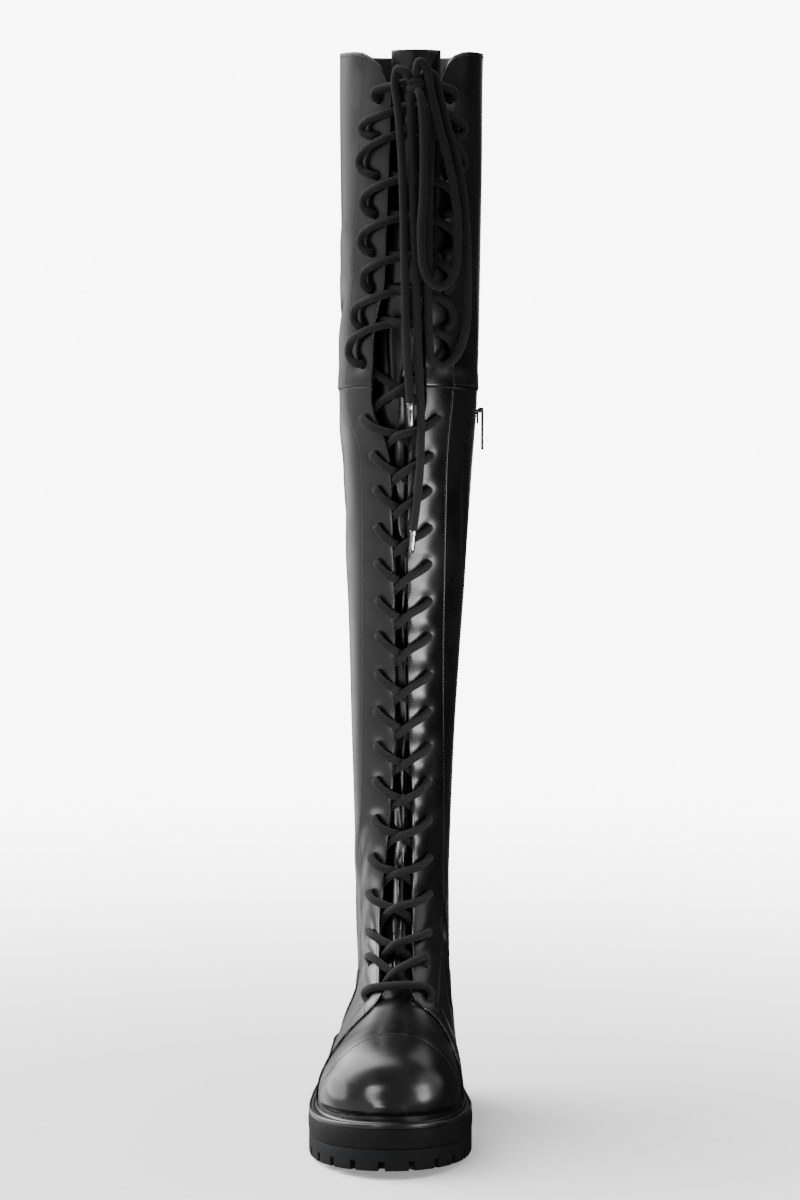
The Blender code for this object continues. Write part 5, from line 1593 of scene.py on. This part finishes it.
def peg_at(work, place, axis, radius, depth):
    """Adds a round peg to a bmesh, turned from z about an axis."""
    turned = Matrix.Translation(place) @ Matrix.Rotation(math.pi / 2, 4, axis)
    bmesh.ops.create_cone(work, cap_ends=True, segments=20, radius1=radius, radius2=radius,
                          depth=depth, matrix=turned)


def build_slider(finish):
    """Slider of the zip: a body that narrows downwards and two lugs that hold the pull's pin."""
    centre, size = box_middle("zip_slider")
    pull, pull_size = box_middle("zip_pull_tab")
    pin = Vector((pull.x, centre.y, pull.z + pull_size.z / 2 - PIN_BELOW))
    work = bmesh.new()
    deep, narrowing = 0.62, 0.72
    back = Vector((size.x * (1 - deep) / 2, 0, 0))
    for vertex in box_at(work, centre - back, (size.x * deep, size.y, size.z)):
        if vertex.co.z < centre.z:
            vertex.co.y = centre.y + (vertex.co.y - centre.y) * narrowing
    start, end = centre.x - 0.2 * MM, pin.x + 1.0 * MM
    for across in (-LUG_SHIFT, LUG_SHIFT):
        middle = ((start + end) / 2, pin.y + across, pin.z - PIN_BELOW)
        box_at(work, middle, (end - start, LUG_WIDE, LUG_TALL))
    slider = from_work("zip_slider_body", work)
    bevelled(slider, 0.3 * MM, 3, 40)
    dressed(baked(slider, sharp=40), finish["zip"], stands_for=["zip_slider"])


def build_pull(finish):
    """Pull tab: a tapered plate with a long hole, and a loop at its axis."""
    centre, size = box_middle("zip_pull_tab")
    half, tall = size.y / 2, size.z / 2
    neck = half * 0.62
    turn = np.linspace(0, math.pi, 13)
    lower = [(-half * math.cos(t), -tall + half - half * math.sin(t)) for t in turn]
    upper = [(neck * math.cos(t), tall - neck + neck * math.sin(t)) for t in turn]
    work = bmesh.new()
    back = centre.x - size.x / 2
    corners = [work.verts.new((back, centre.y + y, centre.z + z)) for y, z in lower + upper]
    grown = bmesh.ops.extrude_face_region(work, geom=[work.faces.new(corners)])["geom"]
    front = [part for part in grown if isinstance(part, bmesh.types.BMVert)]
    bmesh.ops.translate(work, vec=(PULL_THICK, 0, 0), verts=front)
    bmesh.ops.recalc_face_normals(work, faces=work.faces)
    pull = from_work("zip_pull_plate", work)

    work = bmesh.new()
    hole = Vector((centre.x, centre.y, centre.z - tall * 0.42))
    for reach in (-PULL_HOLE_HALF, PULL_HOLE_HALF):
        peg_at(work, hole + Vector((0, 0, reach)), "Y", PULL_HOLE_RADIUS, 6 * MM)
    box_at(work, hole, (6.2 * MM, 2 * PULL_HOLE_RADIUS, 2 * PULL_HOLE_HALF))
    cut_away(pull, from_work("pull_hole", work), crossing=True)

    work = bmesh.new()
    work.from_mesh(pull.data)
    peg_at(work, (centre.x, centre.y, centre.z + tall - PIN_BELOW), "X", PIN_RADIUS, PIN_LONG)
    work.to_mesh(pull.data)
    work.free()
    bevelled(pull, 0.25 * MM, 2, 40)
    dressed(baked(pull, sharp=40), finish["zip"], body="zip_pull", stands_for=["zip_pull_tab"])


# ---- finishes ----
# effects that the finishes share: groups that put out a height, a tone and, where it varies, a polish; the
# braid's and the tape's tone is painted shade, darker in their dips
def effect(name, sizes, outputs):
    """Shader node group that takes a vector and named sizes, and puts out named values."""
    tree = bpy.data.node_groups.new(name, "ShaderNodeTree")
    tree.interface.new_socket("Vector", in_out="INPUT", socket_type="NodeSocketVector")
    for title, value in sizes.items():
        socket = tree.interface.new_socket(title, in_out="INPUT", socket_type="NodeSocketFloat")
        socket.default_value = value
    for title in outputs:
        tree.interface.new_socket(title, in_out="OUTPUT", socket_type="NodeSocketFloat")
    return tree, put(tree, "NodeGroupInput").outputs, put(tree, "NodeGroupOutput").inputs


def math_node(tree, operation, a, b=0.0):
    return put(tree, "ShaderNodeMath", {0: a, 1: b}, operation=operation).outputs[0]


def mapped(tree, value, low, high, to_low, to_high, blend="SMOOTHSTEP"):
    """A value mapped from one range to another, softly unless the blend says otherwise."""
    return put(tree, "ShaderNodeMapRange",
               {"Value": value, "From Min": low, "From Max": high, "To Min": to_low, "To Max": to_high},
               interpolation_type=blend).outputs[0]


def noise(tree, place, scale, detail):
    return put(tree, "ShaderNodeTexNoise", {"Vector": place, "Scale": scale, "Detail": detail}).outputs["Fac"]


def hide_grain():
    """Fine hide grain with broad, uneven polish."""
    tree, given, out = effect("hide_grain", {"Grain": 700.0, "Clouds": 22.0}, ("Height", "Polish", "Tone"))
    calc, place = partial(math_node, tree), given["Vector"]
    cells = put(tree, "ShaderNodeTexVoronoi", {"Vector": place, "Scale": given["Grain"]}, feature="F1")
    cell = mapped(tree, cells.outputs["Distance"], 0.0, 0.8, 1.0, 0.0)
    swell, pores = noise(tree, place, 90.0, 2.0), noise(tree, place, 1900.0, 3.0)
    fine = calc("ADD", calc("MULTIPLY", cell, 0.5), calc("MULTIPLY", pores, 0.35))
    tree.links.new(calc("ADD", fine, calc("MULTIPLY", swell, 0.8)), out["Height"])
    broad = noise(tree, place, given["Clouds"], 4.0)
    tree.links.new(mapped(tree, broad, 0.3, 0.7, 0.0, 1.0), out["Polish"])
    tree.links.new(mapped(tree, swell, 0.3, 0.75, 0.0, 1.0), out["Tone"])
    return tree


def soft_clouds():
    """Even grain under soft clouds, for rubber, waxed thread and handled metal."""
    tree, given, out = effect("soft_clouds", {"Grain": 900.0, "Clouds": 38.0}, ("Height", "Polish", "Tone"))
    broad = noise(tree, given["Vector"], given["Clouds"], 4.0)
    tree.links.new(noise(tree, given["Vector"], given["Grain"], 3.0), out["Height"])
    tree.links.new(mapped(tree, broad, 0.3, 0.7, 0.0, 1.0, blend="LINEAR"), out["Polish"])
    tree.links.new(broad, out["Tone"])
    return tree


def cord_braid():
    """Round braid: two families of strands that cross over each other, on the cord's own UV map; its tone is
    painted shade, darker where the strands dip.
    """
    tree, given, out = effect("cord_braid", {"Round": 8.0, "Along": 9.0}, ("Height", "Tone"))
    calc = partial(math_node, tree)
    parts = put(tree, "ShaderNodeSeparateXYZ", {"Vector": given["Vector"]}).outputs
    around, ahead = calc("MULTIPLY", parts["X"], given["Round"]), calc("MULTIPLY", parts["Y"], given["Along"])
    right = calc("SINE", calc("MULTIPLY", calc("ADD", around, ahead), math.pi))
    left = calc("SINE", calc("MULTIPLY", calc("SUBTRACT", around, ahead), math.pi))
    over = mapped(tree, calc("MULTIPLY", right, left), -0.25, 0.25, 0.0, 1.0)
    height = calc("ADD", calc("MULTIPLY", calc("ABSOLUTE", right), over),
                  calc("MULTIPLY", calc("ABSOLUTE", left), calc("SUBTRACT", 1.0, over)))
    fibre = noise(tree, given["Vector"], 60.0, 3.0)
    tree.links.new(calc("ADD", height, calc("MULTIPLY", fibre, 0.5)), out["Height"])
    # tone follows the strands' height: painted shade, dark between the strands and light on their tops
    tree.links.new(mapped(tree, height, 0.1, 0.95, 0.0, 1.0), out["Tone"])
    return tree


def tape_weave():
    """Close weave in rows up the zip's tape, its grooves darkened by painted shade."""
    tree, given, out = effect("tape_weave", {"Rows": 420.0}, ("Height", "Tone"))
    rows = {"Vector": given["Vector"], "Scale": given["Rows"], "Distortion": 0.4}
    threads = put(tree, "ShaderNodeTexWave", rows, bands_direction="Z").outputs["Fac"]
    # the threads' height also sets the tone: painted shade in the grooves between the rows
    for name in ("Height", "Tone"):
        tree.links.new(threads, out[name])
    return tree


def new_material(name, **constants):
    """Material with constants on its shader's own sockets."""
    made = bpy.data.materials.new(name)
    made.use_nodes = True
    shader = made.node_tree.nodes["Principled BSDF"]
    for socket, value in constants.items():
        shader.inputs[socket.replace("_", " ")].default_value = value
    return made, made.node_tree, shader.inputs


def finished(name, look, dark, light, rough=None, bump=None, place="Object", sizes=(), **constants):
    """Material from an effect, two colours, limits of roughness, and a bump's strength and depth."""
    made, tree, shader = new_material(name, **constants)
    given = {"Vector": put(tree, "ShaderNodeTexCoord").outputs[place], **dict(sizes)}
    surface = put(tree, "ShaderNodeGroup", given, node_tree=look).outputs
    colours = put(tree, "ShaderNodeMix", data_type="RGBA")
    tree.links.new(surface["Tone"], colours.inputs["Factor"])
    colours.inputs["A"].default_value, colours.inputs["B"].default_value = (*dark, 1.0), (*light, 1.0)
    tree.links.new(colours.outputs["Result"], shader["Base Color"])
    if rough:
        tree.links.new(mapped(tree, surface["Polish"], 0, 1, *rough), shader["Roughness"])
    if bump:
        strength, depth = bump
        raised = put(tree, "ShaderNodeBump",
                     {"Height": surface["Height"], "Strength": strength, "Distance": depth * MM})
        tree.links.new(raised.outputs["Normal"], shader["Normal"])
    return made


def grey(value, blue=1.0):
    return value, value, value * blue


def build_finishes():
    hide, clouds = hide_grain(), soft_clouds()
    metal = dict(sizes={"Clouds": 260.0}, Metallic=1.0)
    return dict(
        leather=finished("smooth_black_leather", hide, grey(0.0020, 1.1), (0.0034, 0.0034, 0.0038),
                         (0.22, 0.33), (0.25, 0.05), Coat_Weight=0.15, Coat_Roughness=0.18),
        lining=finished("lining_leather", hide, grey(0.006), grey(0.011), (0.6, 0.75), (0.5, 0.05)),
        thread=finished("waxed_thread", clouds, grey(0.006), grey(0.016), (0.35, 0.5), (0.3, 0.05),
                        sizes={"Grain": 2500.0}),
        # the lace's light colour is its strands' tops and its dark colour is painted shade between them
        lace=finished("braided_lace", cord_braid(), grey(0.007), (0.017, 0.0167, 0.016), bump=(0.8, 0.35),
                      place="UV", Roughness=0.85, Sheen_Weight=0.04, Sheen_Roughness=0.5,
                      Specular_IOR_Level=0.15),
        # the tape's dark colour is painted shade in the weave's grooves
        tape=finished("zip_tape_weave", tape_weave(), grey(0.006), (0.018, 0.018, 0.019), bump=(0.6, 0.2),
                      Roughness=0.8, Sheen_Weight=0.2),
        zip=finished("blackened_zip_metal", clouds, grey(0.008, 1.05), (0.028, 0.028, 0.029), (0.3, 0.45),
                     **metal),
        steel=finished("aglet_steel", clouds, (0.20, 0.20, 0.205), (0.34, 0.34, 0.35), (0.16, 0.3), **metal),
        welt=finished("welt_rubber", clouds, grey(0.005), grey(0.008), (0.26, 0.36), (0.15, 0.05)),
        midsole=finished("midsole_satin_rubber", clouds, grey(0.008), grey(0.012), (0.46, 0.58), (0.2, 0.05),
                         Specular_IOR_Level=0.03),
        tread=finished("tread_rubber", clouds, (0.008, 0.0084, 0.0086), (0.012, 0.0126, 0.0128),
                       (0.6, 0.72), (0.4, 0.05), sizes={"Grain": 1400.0}, Specular_IOR_Level=0.05))


# ---- stage ----
CAMERA_PLACE = (61.6 * MM, -2611.5 * MM, 600 * MM)
CAMERA_PITCH, CAMERA_TURN, CAMERA_LENS = 5.01, 1.23, 114.63
FLOOR_REACH, FLOOR_FADE, FLOOR_SHADE, FLOOR_GLOW = 3.0, (0.15, 1.9), (0.86, 0.86, 0.87, 1), 0.3
WHITE, BACKGROUND = (1, 1, 1, 1), 8.5
# brightness of parts of the surround, each with dark and bright limits of direction: x, y, z, one
# measure that rises upwards and backwards and one that rises round the outer side
SURROUND_DARK = 0.03
UP_WAY, SIDE_WAY = (-0.5, 0.7, 1.0), (-1.0, -0.5, 0.0)
SURROUND = (
    (8.0, ("up", 0.40, 1.08), ("side", -0.3, 0.4), ("z", 0.02, 0.42)),
    (0.8, ("x", -0.15, -0.40), ("y", 0.50, 0.90)),
    (0.7, ("x", -0.15, -0.50), ("y", 0.25, 0.70), ("z", 0.02, -0.10)),
    (0.5, ("x", -0.05, -0.55), ("y", 0.9, 0.1)),
    (0.4, ("x", -0.05, -0.55), ("y", 0.6, 0.1), ("z", 0.02, -0.10)),
    (0.25, ("x", -0.3, 0.2), ("x", 0.98, 0.8), ("y", 0.3, -0.2)),
    (0.8, ("x", 0.0, 0.1), ("y", 0.965, 0.995)),
    (1.2, ("x", 0.30, 0.50), ("y", 0.1, 0.3), ("z", 0.40, 0.55)),
    (1.1, ("x", 0.80, 0.92), ("z", 0.02, 0.15), ("z", 0.55, 0.45)))
# cards that only show in the leather's gloss: middle, width and height in mm, where each one faces,
# its spread in degrees and its brightness
CARDS = dict(
    card_outer=((-235, -690, 130), 250, 135, (-10, -140, 60), 180, 11.0),
    card_inner=((477, -330, 85), 330, 140, (20, -130, 60), 180, 12.0),
    card_shaft=((175, -160, 335), 250, 320, (112, 30, 335), 120, 6.5),
    card_side=((-240, 20, 65), 340, 125, (0, 20, 65), 180, 3.4))


def build_camera():
    camera = linked("camera", bpy.data.cameras.new("camera"))
    camera.data.lens = CAMERA_LENS
    camera.location = CAMERA_PLACE
    camera.rotation_euler = (math.radians(90 - CAMERA_PITCH), 0, math.radians(CAMERA_TURN))
    bpy.context.scene.camera = camera


def brightness(tree):
    """Brightness of the surround by direction."""
    way = put(tree, "ShaderNodeTexCoord").outputs["Generated"]
    measured = {axis.lower(): socket for axis, socket in
                put(tree, "ShaderNodeSeparateXYZ", {"Vector": way}).outputs.items()}
    for name, direction in (("up", UP_WAY), ("side", SIDE_WAY)):
        rising = put(tree, "ShaderNodeVectorMath", {0: way, 1: direction}, operation="DOT_PRODUCT")
        measured[name] = rising.outputs["Value"]
    bright = SURROUND_DARK
    for part, *limits in SURROUND:
        for name, dark, light in limits:
            part = math_node(tree, "MULTIPLY", mapped(tree, measured[name], dark, light, 0.0, 1.0), part)
        bright = math_node(tree, "ADD", part, bright)
    return bright


def build_light():
    """Studio: bright to the outer side, behind and above it, dark to the inner side, cards in front."""
    world = bpy.data.worlds.new("studio")
    bpy.context.scene.world = world
    world.use_nodes = True
    tree = world.node_tree
    tree.nodes.clear()
    strength = put(tree, "ShaderNodeMix")
    tree.links.new(put(tree, "ShaderNodeLightPath").outputs["Is Camera Ray"], strength.inputs["Factor"])
    tree.links.new(brightness(tree), strength.inputs["A"])
    strength.inputs["B"].default_value = BACKGROUND
    sky = put(tree, "ShaderNodeBackground", {"Color": WHITE, "Strength": strength.outputs["Result"]})
    put(tree, "ShaderNodeOutputWorld", {"Surface": sky.outputs[0]})
    for name, (place, width, height, faced, spread, radiance) in CARDS.items():
        data = bpy.data.lights.new(name, "AREA")
        data.shape, data.size, data.size_y = "ELLIPSE", width * MM, height * MM
        data.energy = radiance * math.pi * math.pi / 4 * data.size * data.size_y
        data.spread = math.radians(spread)
        card = linked(name, data)
        card.location = Vector(place) * MM
        card.rotation_euler = (Vector(place) - Vector(faced)).to_track_quat("Z", "Y").to_euler()
        card.visible_diffuse = card.visible_camera = False


def build_floor():
    """Pale floor that fades out into the background."""
    bpy.ops.mesh.primitive_circle_add(vertices=96, radius=FLOOR_REACH, fill_type="NGON", location=(0, 0, 0))
    floor = bpy.context.active_object
    floor.name = "floor"
    made, tree, shader = new_material("pale_floor", Roughness=0.85, Base_Color=FLOOR_SHADE,
                                      Emission_Color=WHITE, Emission_Strength=FLOOR_GLOW)
    place = put(tree, "ShaderNodeTexCoord").outputs["Object"]
    away = put(tree, "ShaderNodeVectorMath", {0: place}, operation="LENGTH").outputs["Value"]
    tree.links.new(mapped(tree, away, *FLOOR_FADE, 1.0, 0.0), shader["Alpha"])
    floor.data.materials.append(made)
    floor.visible_glossy = False


def main():
    build_camera()
    finish = build_finishes()
    build_bow(finish)
    build_lacing(finish)
    build_light()
    build_floor()
    for build in (build_sole, build_vamp, build_quarters, build_facings, build_thigh, build_lining,
                  build_back, build_tongue, build_zip, build_stitches):
        build(finish)
    recoloured("insole", finish["lining"])


main()
